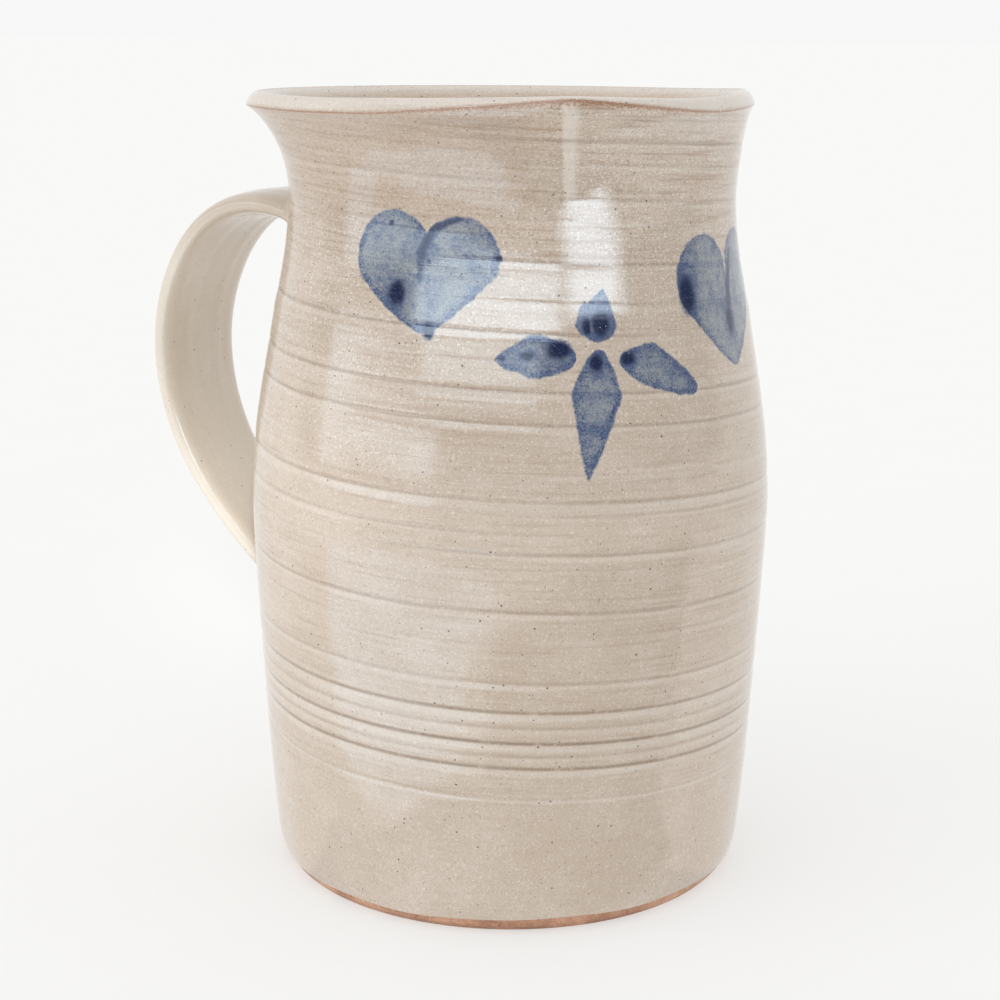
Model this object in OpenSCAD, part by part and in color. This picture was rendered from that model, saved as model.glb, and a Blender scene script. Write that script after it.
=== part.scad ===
// Hand-thrown stoneware pitcher. The body is thrown in one piece, from the flat foot to the flared
// lip with its pulled spout. A pulled strap handle is set on the wall, and a coil of soft clay is
// worked into the corner round each of its roots.
// Millimetres. +Z is up, the origin is the middle of the flat foot, and the handle stands on -X.

/* [Body] */
// Height of the lip's crest above the table
height = 200; // [165:1:240]
// Diameter of the flat foot
foot_d = 115; // [95:1:120]
// Diameter where the rounded foot meets the wall
base_d = 122.4; // [112:0.2:130]
// Height of the rounded edge of the foot
foot_round = 6; // [3:0.5:9]
// Lean of the wall just above the foot, from upright, in degrees
foot_lean = 18; // [0:1:25]
// Largest diameter, at the belly
belly_d = 134; // [112:1:160]
// Height of the belly
belly_z = 96; // [80:1:115]
// Smallest diameter, at the neck
neck_d = 112.8; // [94:0.2:126]
// How far the neck lies below the lip's crest
neck_drop = 25; // [20:1:30]
// Diameter of the lip at its lower, outer arris
rim_d = 133; // [124:1:160]
// Lean of the flared wall at the lip, from upright, in degrees
flare_lean = 55; // [40:1:65]
// Thickness of the wall at the foot
wall_t = 5.5; // [4:0.1:7]
// Thickness of the wall at the lip
lip_t = 4.2; // [3:0.1:5]
// Swell of the lip's end face
lip_crown = 0.6; // [0.2:0.1:1]
// Thickness of the floor
floor_t = 7; // [5:0.5:10]
// Radius worked into the inside corner of the floor
floor_round = 14; // [8:1:20]
// Depth of the finger line left in the wall under the pull of the spout
line_depth = 0.3; // [0.2:0.05:0.6]

/* [Curves of the wall] */
// How far the wall holds its lean above the foot
lean_hold = 6; // [3:1:15]
// How far the wall holds upright under the belly
belly_hold_low = 8; // [4:1:20]
// How far the wall holds upright over the belly
belly_hold_high = 31; // [20:1:36]
// How far the wall holds upright under the neck
neck_hold_low = 20.5; // [12:0.5:26]
// How far the wall holds upright over the neck
neck_hold_high = 8; // [4:0.5:10]
// How far the wall holds its lean under the lip
flare_hold = 8; // [4:0.5:10]

/* [Spout] */
// Turn from the handle round to the spout, counter-clockwise from above, in degrees
spout_turn = 128; // [110:1:180]
// How far the spout's tip stands out past the lip
spout_reach = 14; // [6:0.5:20]
// How far the spout's tip rises above the lip's crest
spout_rise = 1.2; // [0:0.1:4]
// Half the width of the spout at the lip, in degrees
spout_half = 38; // [28:1:45]
// How far below the crest the pull of the spout begins
spout_depth = 37; // [26:1:46]
// How far the lip is drawn in on the side away from the handle
far_draw = 6.3; // [0:0.1:8]
// Middle of that drawn-in stretch, from the spout, in degrees
far_angle = 76; // [65:1:90]
// Half the width of that drawn-in stretch, in degrees
far_half = 57; // [40:1:60]
// How far the lip is drawn in on the side towards the handle
near_draw = 3; // [0:0.1:5]
// Middle of that drawn-in stretch, from the spout, in degrees
near_angle = 60; // [50:1:70]
// Half the width of that drawn-in stretch, in degrees
near_half = 30; // [20:1:36]

/* [Handle] */
// How far the middle of the upper root lies below the lip's crest
upper_root_drop = 31.5; // [26:0.5:45]
// Height of the middle of the lower root
lower_root_z = 67; // [45:1:85]
// Clear space for fingers between the belly and the strap
finger_gap = 32; // [24:1:42]
// How far the strap's outermost point lies above the middle of the roots
grip_rise = 11; // [0:1:20]
// Rise of the strap where it leaves the upper root, in degrees
upper_rise = 28; // [5:1:40]
// How far the strap runs on from the upper root before it bends
upper_run = 32; // [20:1:45]
// How far the strap runs upright above its outermost point
grip_hold_high = 21; // [10:1:30]
// How far the strap runs upright below its outermost point
grip_hold_low = 26; // [10:1:34]
// Slope of the strap where it reaches the lower root, in degrees
lower_slope = 38; // [20:1:60]
// How far the strap runs straight into the lower root
lower_run = 26; // [15:1:34]
// Width of the strap at the upper root
strap_w_top = 36; // [26:0.5:44]
// Width of the strap at the lower root
strap_w_low = 28; // [20:0.5:36]
// Thickness of the strap
strap_t = 7; // [5:0.5:10]
// Squareness of the strap's section, from 2 for an oval
strap_square = 3; // [2:0.1:5]

/* [Joints] */
// How far a coil of soft clay spreads over the wall
coil_spread = 6; // [4:0.5:11]
// How far a coil of soft clay climbs along the strap
coil_climb = 6; // [4:0.5:12]
// Fullness of a coil between wall and strap, from 0 for a hollow fillet
coil_full = 0.3; // [0.1:0.05:0.6]
// Thickness of the slip between two joined pieces
slip = 0.15; // [0.1:0.05:0.3]

/* [Hidden] */

glazed_clay = [0.82, 0.76, 0.70];
glazed_strap = [0.79, 0.73, 0.66];
glazed_coil = [0.75, 0.68, 0.60];

// How finely curves and rings are drawn
span_steps = 14;
foot_steps = 5;
lip_steps = 4;
spout_step = 3;
ring_step = 4.5;
collar_rows = 11;
strap_sides = 28;
side_even = 4.3;
strap_rings = 16;
coil_steps = 4;
search_steps = 24;

// Heights that follow from the driving sizes
arris_z = height - lip_t * sin(flare_lean);
neck_z = height - neck_drop;
spout_root_z = height - spout_depth;
upper_root_z = height - upper_root_drop;
grip_z = (upper_root_z + lower_root_z) / 2 + grip_rise;

// The plain turned wall ends at a finger line, and the collar that carries the spout goes on from
// there. The collar's lower edge is let into the wall, so the two run together as one piece of clay.
seam_z = spout_root_z - 5;
tenon_depth = 4;
tenon_inset = 1.5;
line_rise = 2;
soft_tip = 3;
tip_face = 0.6;

function unit(v) = v / norm(v);
function mix(a, b, t) = a + (b - a) * t;
function clamp01(x) = max(0, min(1, x));
function signed_pow(x, p) = sign(x) * pow(abs(x), p);
function bezier(p, t) =
    pow(1 - t, 3) * p[0] + 3 * t * pow(1 - t, 2) * p[1] + 3 * t * t * (1 - t) * p[2] + pow(t, 3) * p[3];
function bezier_way(p, t) =
    pow(1 - t, 2) * (p[1] - p[0]) + 2 * t * (1 - t) * (p[2] - p[1]) + t * t * (p[3] - p[2]);
function curve_points(p, steps) = [for (i = [1 : steps]) bezier(p, i / steps)];

// The outside of the wall, as [radius, height] from the foot to the lip's arris
foot_curve = [
    [foot_d / 2, 0],
    [mix(foot_d, base_d, 0.7) / 2, 0.25 * foot_round],
    [base_d / 2 - 0.3 * foot_round * tan(foot_lean), 0.7 * foot_round],
    [base_d / 2, foot_round],
];
lower_curve = [
    [base_d / 2, foot_round],
    [base_d / 2 + lean_hold * sin(foot_lean), foot_round + lean_hold * cos(foot_lean)],
    [belly_d / 2, belly_z - belly_hold_low],
    [belly_d / 2, belly_z],
];
shoulder_curve = [
    [belly_d / 2, belly_z],
    [belly_d / 2, belly_z + belly_hold_high],
    [neck_d / 2, neck_z - neck_hold_low],
    [neck_d / 2, neck_z],
];
flare_curve = [
    [neck_d / 2, neck_z],
    [neck_d / 2, neck_z + neck_hold_high],
    [rim_d / 2 - flare_hold * sin(flare_lean), arris_z - flare_hold * cos(flare_lean)],
    [rim_d / 2, arris_z],
];
outer_line = concat(
    [foot_curve[0]],
    curve_points(foot_curve, foot_steps),
    curve_points(lower_curve, span_steps),
    curve_points(shoulder_curve, span_steps),
    curve_points(flare_curve, span_steps)
);
outer_table = [for (p = outer_line) [p[1], p[0]]];
function outer_r(z) = lookup(z, outer_table);

// The inside of the wall lies one wall thickness in, square to the outside
slope_reach = 0.5;
function wall_slope(z) =
    (outer_r(min(z + slope_reach, arris_z)) - outer_r(z - slope_reach))
    / (min(z + slope_reach, arris_z) - z + slope_reach);
function thickness(z) = mix(wall_t, lip_t, z / arris_z);
function inner_point(z) =
    let (s = wall_slope(z))
    [outer_r(z), z] + thickness(z) * [-1, s] / norm([1, s]);
inner_line = [for (p = outer_line) if (p[1] > foot_round) inner_point(p[1])];
inner_table = [for (p = inner_line) [p[1], p[0]]];
function inner_r(z) = lookup(z, inner_table);

// The pull of the spout, by the turn from its middle, and the draw of the lip beside it
function spout_share(turn) =
    let (soft = sqrt(turn * turn + soft_tip * soft_tip) - soft_tip)
    pow(clamp01(1 - soft / spout_half), 1.4);
function swell(x) = abs(x) < 1 ? pow(cos(90 * x), 2) : 0;
function lip_draw(turn) =
    far_draw * swell((turn - far_angle) / far_half) + near_draw * swell((turn - 360 + near_angle) / near_half)
    + near_draw * swell((turn + near_angle) / near_half);
function pull_climb(z) = pow(clamp01((z - spout_root_z) / (arris_z - spout_root_z)), 1.7);
function draw_climb(z) = pow(clamp01((z - neck_z) / (arris_z - neck_z)), 2.5);
function lip_shift(turn, z) =
    spout_reach * spout_share(turn) * pull_climb(z) - lip_draw(turn) * draw_climb(z);
// The arris climbs to the crest at the tip, so the end face turns up and the edge pours clean
function lip_lift(turn, z, arris_share) =
    (spout_rise + arris_share * (height - arris_z - tip_face)) * spout_share(turn) * pull_climb(z);

// One column of the collar: up the outside, over the lip's end face and down the inside
collar_z = [for (i = [0 : collar_rows]) mix(seam_z + line_rise, arris_z, i / collar_rows)];
function lip_point(t) =
    mix([rim_d / 2, arris_z], inner_point(arris_z), t)
    + 4 * t * (1 - t) * lip_crown * [sin(flare_lean), cos(flare_lean)];
function shifted(p, turn, z, arris_share) =
    [p[0] + lip_shift(turn, z), p[1] + lip_lift(turn, z, arris_share)];
function collar_column(turn) = concat(
    [[outer_r(seam_z - tenon_depth) - tenon_inset, seam_z - tenon_depth]],
    [[outer_r(seam_z) - line_depth, seam_z - slope_reach]],
    [for (z = collar_z) shifted([outer_r(z), z], turn, z, 1)],
    [for (i = [1 : lip_steps]) let (t = i / lip_steps) shifted(lip_point(t), turn, arris_z, 1 - t)],
    [for (i = [1 : collar_rows]) let (z = collar_z[collar_rows - i]) shifted(inner_point(z), turn, z, 0)],
    [[inner_r(seam_z) + line_depth, seam_z - slope_reach]],
    [[inner_r(seam_z - tenon_depth) + tenon_inset, seam_z - tenon_depth]]
);
collar_turns = concat(
    [for (a = [-spout_half - 2 * spout_step : spout_step : spout_half + 2 * spout_step]) a],
    [for (a = [spout_half + 3 * spout_step : ring_step : 359 - spout_half - 3 * spout_step]) a]
);
function around(p, angle) = [p[0] * cos(angle), p[0] * sin(angle), p[1]];

// The strap's middle line, in the plane y = 0, as [distance out, height]
root_sink = 8;
function root_point(z) = [outer_r(z) - root_sink, z];
grip_point = [belly_d / 2 + finger_gap + strap_t / 2, grip_z];
upper_way = [cos(upper_rise), sin(upper_rise)];
lower_way = [cos(lower_slope), sin(lower_slope)];
upper_strap = [
    root_point(upper_root_z) - root_sink * [0, tan(upper_rise)],
    [outer_r(upper_root_z), upper_root_z] + upper_run * upper_way,
    grip_point + [0, grip_hold_high],
    grip_point,
];
lower_strap = [
    grip_point,
    grip_point - [0, grip_hold_low],
    [outer_r(lower_root_z), lower_root_z] + lower_run * lower_way,
    root_point(lower_root_z) - root_sink * [0, tan(lower_slope)],
];
// s runs from 0 at the upper root to 1 at the outermost point and 2 at the lower root
function strap_middle(s) = s <= 1 ? bezier(upper_strap, s) : bezier(lower_strap, s - 1);
function strap_way(s) = unit(s <= 1 ? bezier_way(upper_strap, s) : bezier_way(lower_strap, s - 1));
function strap_width(s) = mix(strap_w_top, strap_w_low, s / 2);
// A point on the strap's skin, at the angle a round its section, grown by g
function strap_skin(s, a, g = 0) =
    let (
        m = strap_middle(s),
        w = strap_way(s),
        across = (strap_width(s) / 2 + g) * signed_pow(cos(a), 2 / strap_square),
        out = (strap_t / 2 + g) * signed_pow(sin(a), 2 / strap_square)
    )
    [-m[0] + out * w[1], across, m[1] + out * w[0]];
// The sides are evened out, so the flat faces get no wider sides than the rounded edges
function section_angle(i) = let (a = 360 * (i + 0.5) / strap_sides) a - side_even * sin(4 * a);

// Where the strap's skin at the angle a comes out of the wall, found by halving
function clear_of_wall(p) = norm([p[0], p[1]]) - outer_r(p[2]);
function skin_exit(a, inside, outside, n = search_steps) =
    let (s = (inside + outside) / 2)
    n == 0 ? s
    : clear_of_wall(strap_skin(s, a)) > 0 ? skin_exit(a, inside, s, n - 1)
    : skin_exit(a, s, outside, n - 1);
// A point on the wall, moved over it by the spread along [round, up]
function on_wall(p, spread) =
    let (z = p[2] + spread[1], r = outer_r(z) + slip, a = atan2(p[1], p[0]) + spread[0] / r * 180 / PI)
    [r * cos(a), r * sin(a), z];
// Which way is outward from the strap's section at the angle a, as [across, out]
function section_way(s, a) =
    let (p = 2 - 2 / strap_square)
    unit([signed_pow(cos(a), p) / strap_width(s), signed_pow(sin(a), p) / strap_t]);

// One cross-section of a root coil: along the wall, up the hollow face and back down the strap
function coil_section(a, inside, outside) =
    let (
        s = skin_exit(a, inside, outside),
        way = section_way(s, a),
        up = sign(strap_way(s)[0]),
        spread = coil_spread * [-way[0], up * way[1]],
        climb = coil_climb / norm(strap_skin(mix(s, outside, 0.01), a) - strap_skin(s, a)) / 100,
        corner = on_wall(strap_skin(s, a, slip), [0, 0]),
        foot = on_wall(corner, spread),
        head = strap_skin(mix(s, outside, climb), a, slip),
        full = corner + coil_full * ((foot - corner) + (head - corner)) / 2
    )
    concat(
        [corner, on_wall(corner, spread / 2), foot],
        [for (i = [1 : coil_steps]) let (t = i / coil_steps)
            pow(1 - t, 2) * foot + 2 * t * (1 - t) * full + t * t * head],
        [strap_skin(mix(s, outside, climb / 2), a, slip)]
    );

// A closed band of rings, each ring joined to the next and the last to the first
module closed_band(rings) {
    n = len(rings);
    m = len(rings[0]);
    polyhedron(
        points = [for (ring = rings) for (p = ring) p],
        faces = [for (i = [0 : n - 1]) for (j = [0 : m - 1])
            let (a = i * m + j, b = i * m + (j + 1) % m, c = ((i + 1) % n) * m + (j + 1) % m, d = ((i + 1) % n) * m + j)
            each [[a, b, c], [a, c, d]]]
    );
}

// A tube through rings, closed by a cap at each end
module capped_tube(rings) {
    n = len(rings);
    m = len(rings[0]);
    polyhedron(
        points = [for (ring = rings) for (p = ring) p],
        faces = concat(
            [[for (j = [0 : m - 1]) j]],
            [for (i = [0 : n - 2]) for (j = [0 : m - 1])
                let (a = i * m + j, b = i * m + (j + 1) % m, c = a + m, d = b + m)
                each [[a, c, d], [a, d, b]]],
            [[for (j = [m - 1 : -1 : 0]) (n - 1) * m + j]]
        )
    );
}

// The wall from the foot to the seam, with the floor
module turned_wall() {
    corner_z = floor_t + floor_round;
    floor_curve = [
        [inner_r(corner_z), corner_z],
        [inner_r(corner_z) - 0.2, floor_t + 0.4 * floor_round],
        [inner_r(corner_z) - 0.5 * floor_round, floor_t],
        [inner_r(corner_z) - floor_round, floor_t],
    ];
    rotate_extrude() polygon(concat(
        [[0, 0]],
        [for (p = outer_line) if (p[1] < seam_z) p],
        [[outer_r(seam_z), seam_z], [inner_r(seam_z), seam_z]],
        [for (i = [len(inner_line) - 1 : -1 : 0])
            let (p = inner_line[i]) if (p[1] < seam_z && p[1] > corner_z) p],
        [floor_curve[0]],
        curve_points(floor_curve, foot_steps),
        [[0, floor_t]]
    ));
}

// The collar from the seam to the lip, with the pulled spout
module spouted_collar() {
    closed_band([for (turn = collar_turns)
        [for (p = collar_column(turn)) around(p, 180 + spout_turn + turn)]]);
}

// Everything inside the outside of the wall, one slip thickness larger
module wall_core() {
    rotate_extrude() polygon(concat(
        [[0, 0]],
        [for (p = outer_line) p + [slip, 0]],
        [[0, arris_z]]
    ));
}

module thrown_body() {
    color(glazed_clay) union() {
        turned_wall();
        spouted_collar();
    }
}

module pulled_handle() {
    color(glazed_strap) difference() {
        capped_tube([for (i = [0 : 2 * strap_rings])
            [for (j = [0 : strap_sides - 1]) strap_skin(i / strap_rings, section_angle(j))]]);
        wall_core();
    }
}

module root_coil(inside, outside) {
    color(glazed_coil) closed_band([for (j = [0 : strap_sides - 1])
        coil_section(section_angle(j), inside, outside)]);
}

module upper_root_coil() {
    root_coil(0, 0.7);
}

module lower_root_coil() {
    root_coil(2, 1.3);
}

thrown_body();
pulled_handle();
upper_root_coil();
lower_root_coil();
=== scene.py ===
"""Looks of a hand-thrown stoneware pitcher with blue brushwork, laid out as a Blender add-on."""

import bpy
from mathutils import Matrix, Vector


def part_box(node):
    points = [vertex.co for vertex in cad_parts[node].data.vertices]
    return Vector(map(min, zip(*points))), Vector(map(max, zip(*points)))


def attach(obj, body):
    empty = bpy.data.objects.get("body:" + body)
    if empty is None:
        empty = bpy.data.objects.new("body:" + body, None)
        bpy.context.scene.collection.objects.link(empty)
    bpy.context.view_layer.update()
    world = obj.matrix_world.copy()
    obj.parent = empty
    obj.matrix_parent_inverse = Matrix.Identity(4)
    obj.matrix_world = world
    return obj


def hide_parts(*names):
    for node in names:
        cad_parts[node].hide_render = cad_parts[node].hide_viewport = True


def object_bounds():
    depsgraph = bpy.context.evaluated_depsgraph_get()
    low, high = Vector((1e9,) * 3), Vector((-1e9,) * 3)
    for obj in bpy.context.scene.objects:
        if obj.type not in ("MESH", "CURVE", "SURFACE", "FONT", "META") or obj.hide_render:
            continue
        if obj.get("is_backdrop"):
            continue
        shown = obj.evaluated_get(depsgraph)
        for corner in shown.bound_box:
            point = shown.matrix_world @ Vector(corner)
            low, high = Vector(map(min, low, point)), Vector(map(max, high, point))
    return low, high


bl_info = {
    "name": "Stoneware Pitcher",
    "version": (1, 0, 0),
    "blender": (4, 5, 0),
    "location": "3D View > Sidebar > Pitcher",
    "description": "Builds a hand-thrown pitcher with glaze, brushwork and handle, on a plain studio stage",
    "category": "Add Mesh",
}

import bisect
import math

import bmesh
import bpy
from bpy.props import FloatProperty, FloatVectorProperty, IntProperty, PointerProperty
from mathutils import Matrix, Vector

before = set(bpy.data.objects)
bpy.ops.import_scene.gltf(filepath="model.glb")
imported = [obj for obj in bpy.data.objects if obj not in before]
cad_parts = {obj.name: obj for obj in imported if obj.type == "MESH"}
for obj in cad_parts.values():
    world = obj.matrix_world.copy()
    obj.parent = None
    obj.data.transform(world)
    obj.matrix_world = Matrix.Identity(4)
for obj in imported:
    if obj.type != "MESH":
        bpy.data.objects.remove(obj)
CAD_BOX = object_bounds()
BODY_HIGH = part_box("thrown_body")[1]
MM = 0.001
# How far the part's spout rises above the lip's crest
SPOUT_RISE = 1.2 * MM
# The UV map that the export bakes to
BAKE_MAP = "OFBake"


def length(name, description, millimetres):
    """A length that a user can set."""
    default = millimetres * MM
    return FloatProperty(name=name, description=description, default=default, unit="LENGTH", precision=5)


def angle(name, description, degrees):
    """An angle that a user can set."""
    return FloatProperty(name=name, description=description, default=math.radians(degrees), subtype="ANGLE")


def number(name, description, default):
    """A plain number that a user can set."""
    return FloatProperty(name=name, description=description, default=default)


def whole(name, description, default, least):
    """A whole number that a user can set."""
    return IntProperty(name=name, description=description, default=default, min=least)


def linear(c):
    """The amount of light behind one channel of a screen colour."""
    return c / 12.92 if c <= 0.04045 else ((c + 0.055) / 1.055) ** 2.4


def colour(name, description, red, green, blue):
    """A colour that a user can set, given as the eye sees it, from 0 to 255."""
    return FloatVectorProperty(
        name=name,
        description=description,
        default=[linear(c / 255) for c in (red, green, blue)],
        subtype="COLOR",
        size=3,
        min=0.0,
        max=1.0,
    )


class PitcherWall(bpy.types.PropertyGroup):
    """Sizes of the thrown wall, as the part has them."""

    height: length("Height", "Height of the lip's crest", (BODY_HIGH.z - SPOUT_RISE) / MM)
    foot_d: length("Foot", "Diameter of the flat foot", 115)
    base_d: length("Base", "Diameter where the rounded foot meets the wall", 122.4)
    foot_round: length("Foot rounding", "Height of the rounded edge of the foot", 6)
    foot_lean: angle("Foot lean", "Lean of the wall just above the foot", 18)
    belly_d: length("Belly", "Largest diameter", 2 * BODY_HIGH.y / MM)
    belly_z: length("Belly height", "Height of the belly", 96)
    neck_d: length("Neck", "Smallest diameter", 112.8)
    neck_drop: length("Neck drop", "How far the neck lies below the lip's crest", 25)
    rim_d: length("Lip", "Diameter of the lip at its arris", 133)
    flare_lean: angle("Flare", "Lean of the flared wall at the lip", 55)
    wall_t: length("Wall", "Thickness of the wall at the foot", 5.5)
    lip_t: length("Lip thickness", "Thickness of the wall at the lip", 4.2)
    lip_crown: length("Lip crown", "Swell of the lip's end face", 0.6)
    floor_t: length("Floor", "Thickness of the floor", 7)
    floor_round: length("Floor rounding", "Radius inside the corner of the floor", 14)
    lean_hold: length("Lean hold", "How far the wall holds its lean above the foot", 6)
    belly_hold_low: length("Belly hold low", "How far the wall holds upright under the belly", 8)
    belly_hold_high: length("Belly hold high", "How far the wall holds upright over the belly", 31)
    neck_hold_low: length("Neck hold low", "How far the wall holds upright under the neck", 20.5)
    neck_hold_high: length("Neck hold high", "How far the wall holds upright over the neck", 8)
    flare_hold: length("Flare hold", "How far the wall holds its lean under the lip", 8)
    swell: length("Shoulder swell", "How far the shoulder swells out to a soft ridge", 0.35)
    swell_z: length("Swell height", "Height of that ridge", 147)
    swell_half: length("Swell half", "Half the height of that swell", 15)
    glaze_edge: length("Glaze edge", "Height where the glaze ends over the bare foot", 3.6)
    glaze_t: length("Glaze", "Thickness of the glaze at its edge", 0.3)
    edge_wave: length("Edge wave", "How far the edge of the glaze wanders up and down", 0.5)
    line_depth: length("Line depth", "Depth of a throwing line of full strength", 0.8)
    inner_line: length("Inner line", "Depth of the throwing lines on the inside", 0.28)
    inner_lead: length("Inner lead", "Climb of the inside lines in one turn", 9.3)
    row_step: length("Row step", "Distance between two rows of the outside", 0.52)
    columns: whole("Columns", "How many columns go round the wall", 200, 24)


class PitcherSpout(bpy.types.PropertyGroup):
    """Sizes of the pulled spout and the hand-made lip."""

    turn: angle("Turn", "Turn from the handle round to the spout", 128)
    reach: length("Reach", "How far the tip stands out past the lip", 13.9)
    rise: length("Rise", "How far the tip rises above the lip's crest", SPOUT_RISE / MM - 0.1)
    half: angle("Half width", "Half the width of the spout at the lip", 38)
    depth: length("Depth", "How far below the crest the pull begins", 37)
    soft_tip: angle("Soft tip", "How much of the tip is rounded off", 2)
    tip_face: length("Tip face", "Height of the end face at the tip", 0.6)
    far_draw: length("Far draw", "How far the lip is drawn in on the side away from the handle", 6.3)
    far_angle: angle("Far angle", "Middle of that stretch, from the spout", 76)
    far_half: angle("Far half", "Half the width of that stretch", 57)
    far_lift: length("Far lift", "How far the lip stands up there", 1.1)
    near_draw: length("Near draw", "How far the lip is drawn in on the side towards the handle", 3)
    near_angle: angle("Near angle", "Middle of that stretch, from the spout", -60)
    near_half: angle("Near half", "Half the width of that stretch", 30)
    near_dip: length("Near dip", "How far the lip hangs there", 0.4)


class PitcherHandle(bpy.types.PropertyGroup):
    """Sizes of the pulled strap and its root coils."""

    upper_root_drop: length("Upper root", "How far the upper root lies below the lip's crest", 31.5)
    lower_root_z: length("Lower root", "Height of the lower root", 67)
    finger_gap: length("Finger gap", "Room for the fingers between the belly and the strap", 32)
    strap_t: length("Thickness", "Thickness of the strap", 7)
    grip_rise: length("Grip rise", "How far the outermost point lies above the middle of the roots", 11)
    upper_rise: angle("Upper rise", "Rise of the strap where it leaves the upper root", 28)
    upper_run: length("Upper run", "How far the strap runs on before it bends", 32)
    grip_hold_high: length("Grip hold high", "How far the strap runs upright above its outermost point", 21)
    grip_hold_low: length("Grip hold low", "How far the strap runs upright below its outermost point", 26)
    lower_slope: angle("Lower slope", "Slope of the strap where it reaches the lower root", 38)
    lower_run: length("Lower run", "How far the strap runs straight into the lower root", 26)
    strap_w_top: length("Upper width", "Width of the strap at the upper root", 36)
    strap_w_low: length("Lower width", "Width of the strap at the lower root", 28)
    strap_square: number("Squareness", "Squareness of the strap's section, from 2 for an oval", 3.0)
    pull_groove: length("Pull groove", "Depth of the grooves that the pulling hand leaves", 0.25)
    root_sink: length("Root sink", "How far the strap's middle line runs on behind the wall's face", 8)
    root_depth: length("Root depth", "How far the strap's skin goes into the wall", 2.0)
    coil_spread: length("Coil spread", "How far a coil spreads over the wall", 6)
    coil_climb: length("Coil climb", "How far a coil climbs along the strap", 6)
    coil_full: number("Coil fullness", "Fullness of a coil, from 0 for a hollow fillet", 0.12)
    coil_bed: length("Coil bed", "How far the thin edges of a coil sink into what they lie on", 0.12)
    sides: whole("Sides", "How many sides the strap's section has", 72, 12)
    rings: whole("Rings", "How many rings the strap has", 150, 12)


class PitcherFinish(bpy.types.PropertyGroup):
    """Colours of the glaze, the clay and the blue."""

    front: angle("Brush front", "Middle of the brushed front, from the frame's front towards the right", 29)
    glaze: colour("Glaze", "The glaze where it lies evenly", 192, 177, 161)
    glaze_thick: colour("Thick glaze", "The glaze where it lies thick and cloudy", 213, 202, 191)
    # Also the colour of the painted shade under the lip's flare
    glaze_thin_and_shade: colour("Thin glaze", "The glaze where the clay shows through", 166, 143, 123)
    # The strap's glaze is paler than the wall's partly as its own colour and partly as painted light on the
    # handle
    strap: colour("Strap glaze", "The paler glaze of the handle", 219, 209, 194)
    # This brown also stands for painted shade on the steps of the throwing lines
    crease: colour("Crease", "The brown that shows in a throwing line", 120, 98, 78)
    speck: colour("Speck", "Iron specks", 66, 50, 40)
    # Also the colour of painted highlights: the streak down the spout's ridge and part of the pale under the
    # throwing lines
    fleck_and_highlight: colour("Fleck", "Pale flecks and pooled glaze", 228, 221, 212)
    inside: colour("Inside", "The warmer glaze inside", 197, 178, 154)
    lip_clay: colour("Lip clay", "The clay that shows on the sharp edge of the lip", 150, 104, 72)
    clay: colour("Clay", "The bare clay of the foot", 204, 160, 131)
    clay_dark: colour("Dark clay", "Darker grains of the bare clay", 152, 108, 82)
    wash: colour("Wash", "Thin blue brushwork", 126, 138, 148)
    cobalt: colour("Cobalt", "Blue brushwork where it pools", 74, 89, 124)
    cobalt_deep: colour("Deep cobalt", "The dots where the brush rested", 8, 20, 60)


class PitcherStage(bpy.types.PropertyGroup):
    """The camera, the lights and the floor."""

    turn: angle("Camera turn", "Turn of the camera round the pitcher, from the front to the right", 29)
    distance: length("Camera distance", "From the pitcher's axis to the camera", 513.85)
    height: length("Camera height", "Height of the camera over the floor", 214.03)
    pitch: angle("Camera pitch", "How far the camera looks down", 13.056)
    aside: angle("Camera aside", "How far the camera looks to the left of the axis", 0.29)
    roll: angle("Camera roll", "Roll of the camera", 0.372)
    lens: number("Lens", "Focal length of the lens, for a sensor of 36 mm", 72.38)
    sky: number("Sky", "Brightness of the white surroundings", 0.935)
    sun: number("Soft sun", "Strength of the broad soft light from the left", 0.72)
    sun_turn: angle("Sun turn", "Turn of that light from the camera, to the right", -62)
    sun_rise: angle("Sun rise", "Height of that light over the horizon", 18)
    room: number("Room", "Brightness of the room's walls in the glaze's reflections", 0.3)
    window: number("Window", "Brightness of the long window in those reflections", 6.6)
    left_wall: number("Left wall", "Brightness of the sunlit wall on the left", 2.6)
    sheen: number("Sheen", "Brightness of the floor on the left, where the sun lies on it", 2.2)
    glint: number("Glint", "Brightness of the small light beside the spout", 8.0)
    shade: number("Shade", "Brightness of the shaded floor in front", 0.08)
    foot_shade: number("Foot shade", "Brightness of the floor close round the foot", 0.6)
    daylight: colour("Daylight", "The tint of the windows", 222, 240, 255)
    fill: number("Handle fill", "Strength of the small soft light on the lower half of the handle", 6.8)
    bounce: number("Bounce", "Light that the sunny floor throws up at the pitcher", 0.22)
    floor: colour("Floor", "The pale floor", 172, 172, 171)
    floor_glow: number("Floor glow", "Light that the floor gives of itself, which softens the shadow", 0.535)


class PitcherSettings(bpy.types.PropertyGroup):
    """Everything that a user can set."""

    wall: PointerProperty(type=PitcherWall)
    spout: PointerProperty(type=PitcherSpout)
    handle: PointerProperty(type=PitcherHandle)
    finish: PointerProperty(type=PitcherFinish)
    stage: PointerProperty(type=PitcherStage)


def mix(a, b, t):
    """A value or point between two, at the share t of the way."""
    return a + (b - a) * t


def signed_power(x, power):
    """A power of x that keeps its sign."""
    return math.copysign(abs(x) ** power, x)


def bezier(points, t):
    """A point on a curve with four control points."""
    a, b, c, d = (Vector(p) for p in points)
    u = 1 - t
    return u ** 3 * a + 3 * t * u * u * b + 3 * t * t * u * c + t ** 3 * d


def bezier_way(points, t):
    """The way that the curve runs there."""
    a, b, c, d = (Vector(p) for p in points)
    u = 1 - t
    return (u * u * (b - a) + 2 * t * u * (c - b) + t * t * (d - c)).normalized()


def curve_points(points, steps):
    """The points along a curve, without its first."""
    return [bezier(points, (i + 1) / steps) for i in range(steps)]


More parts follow.
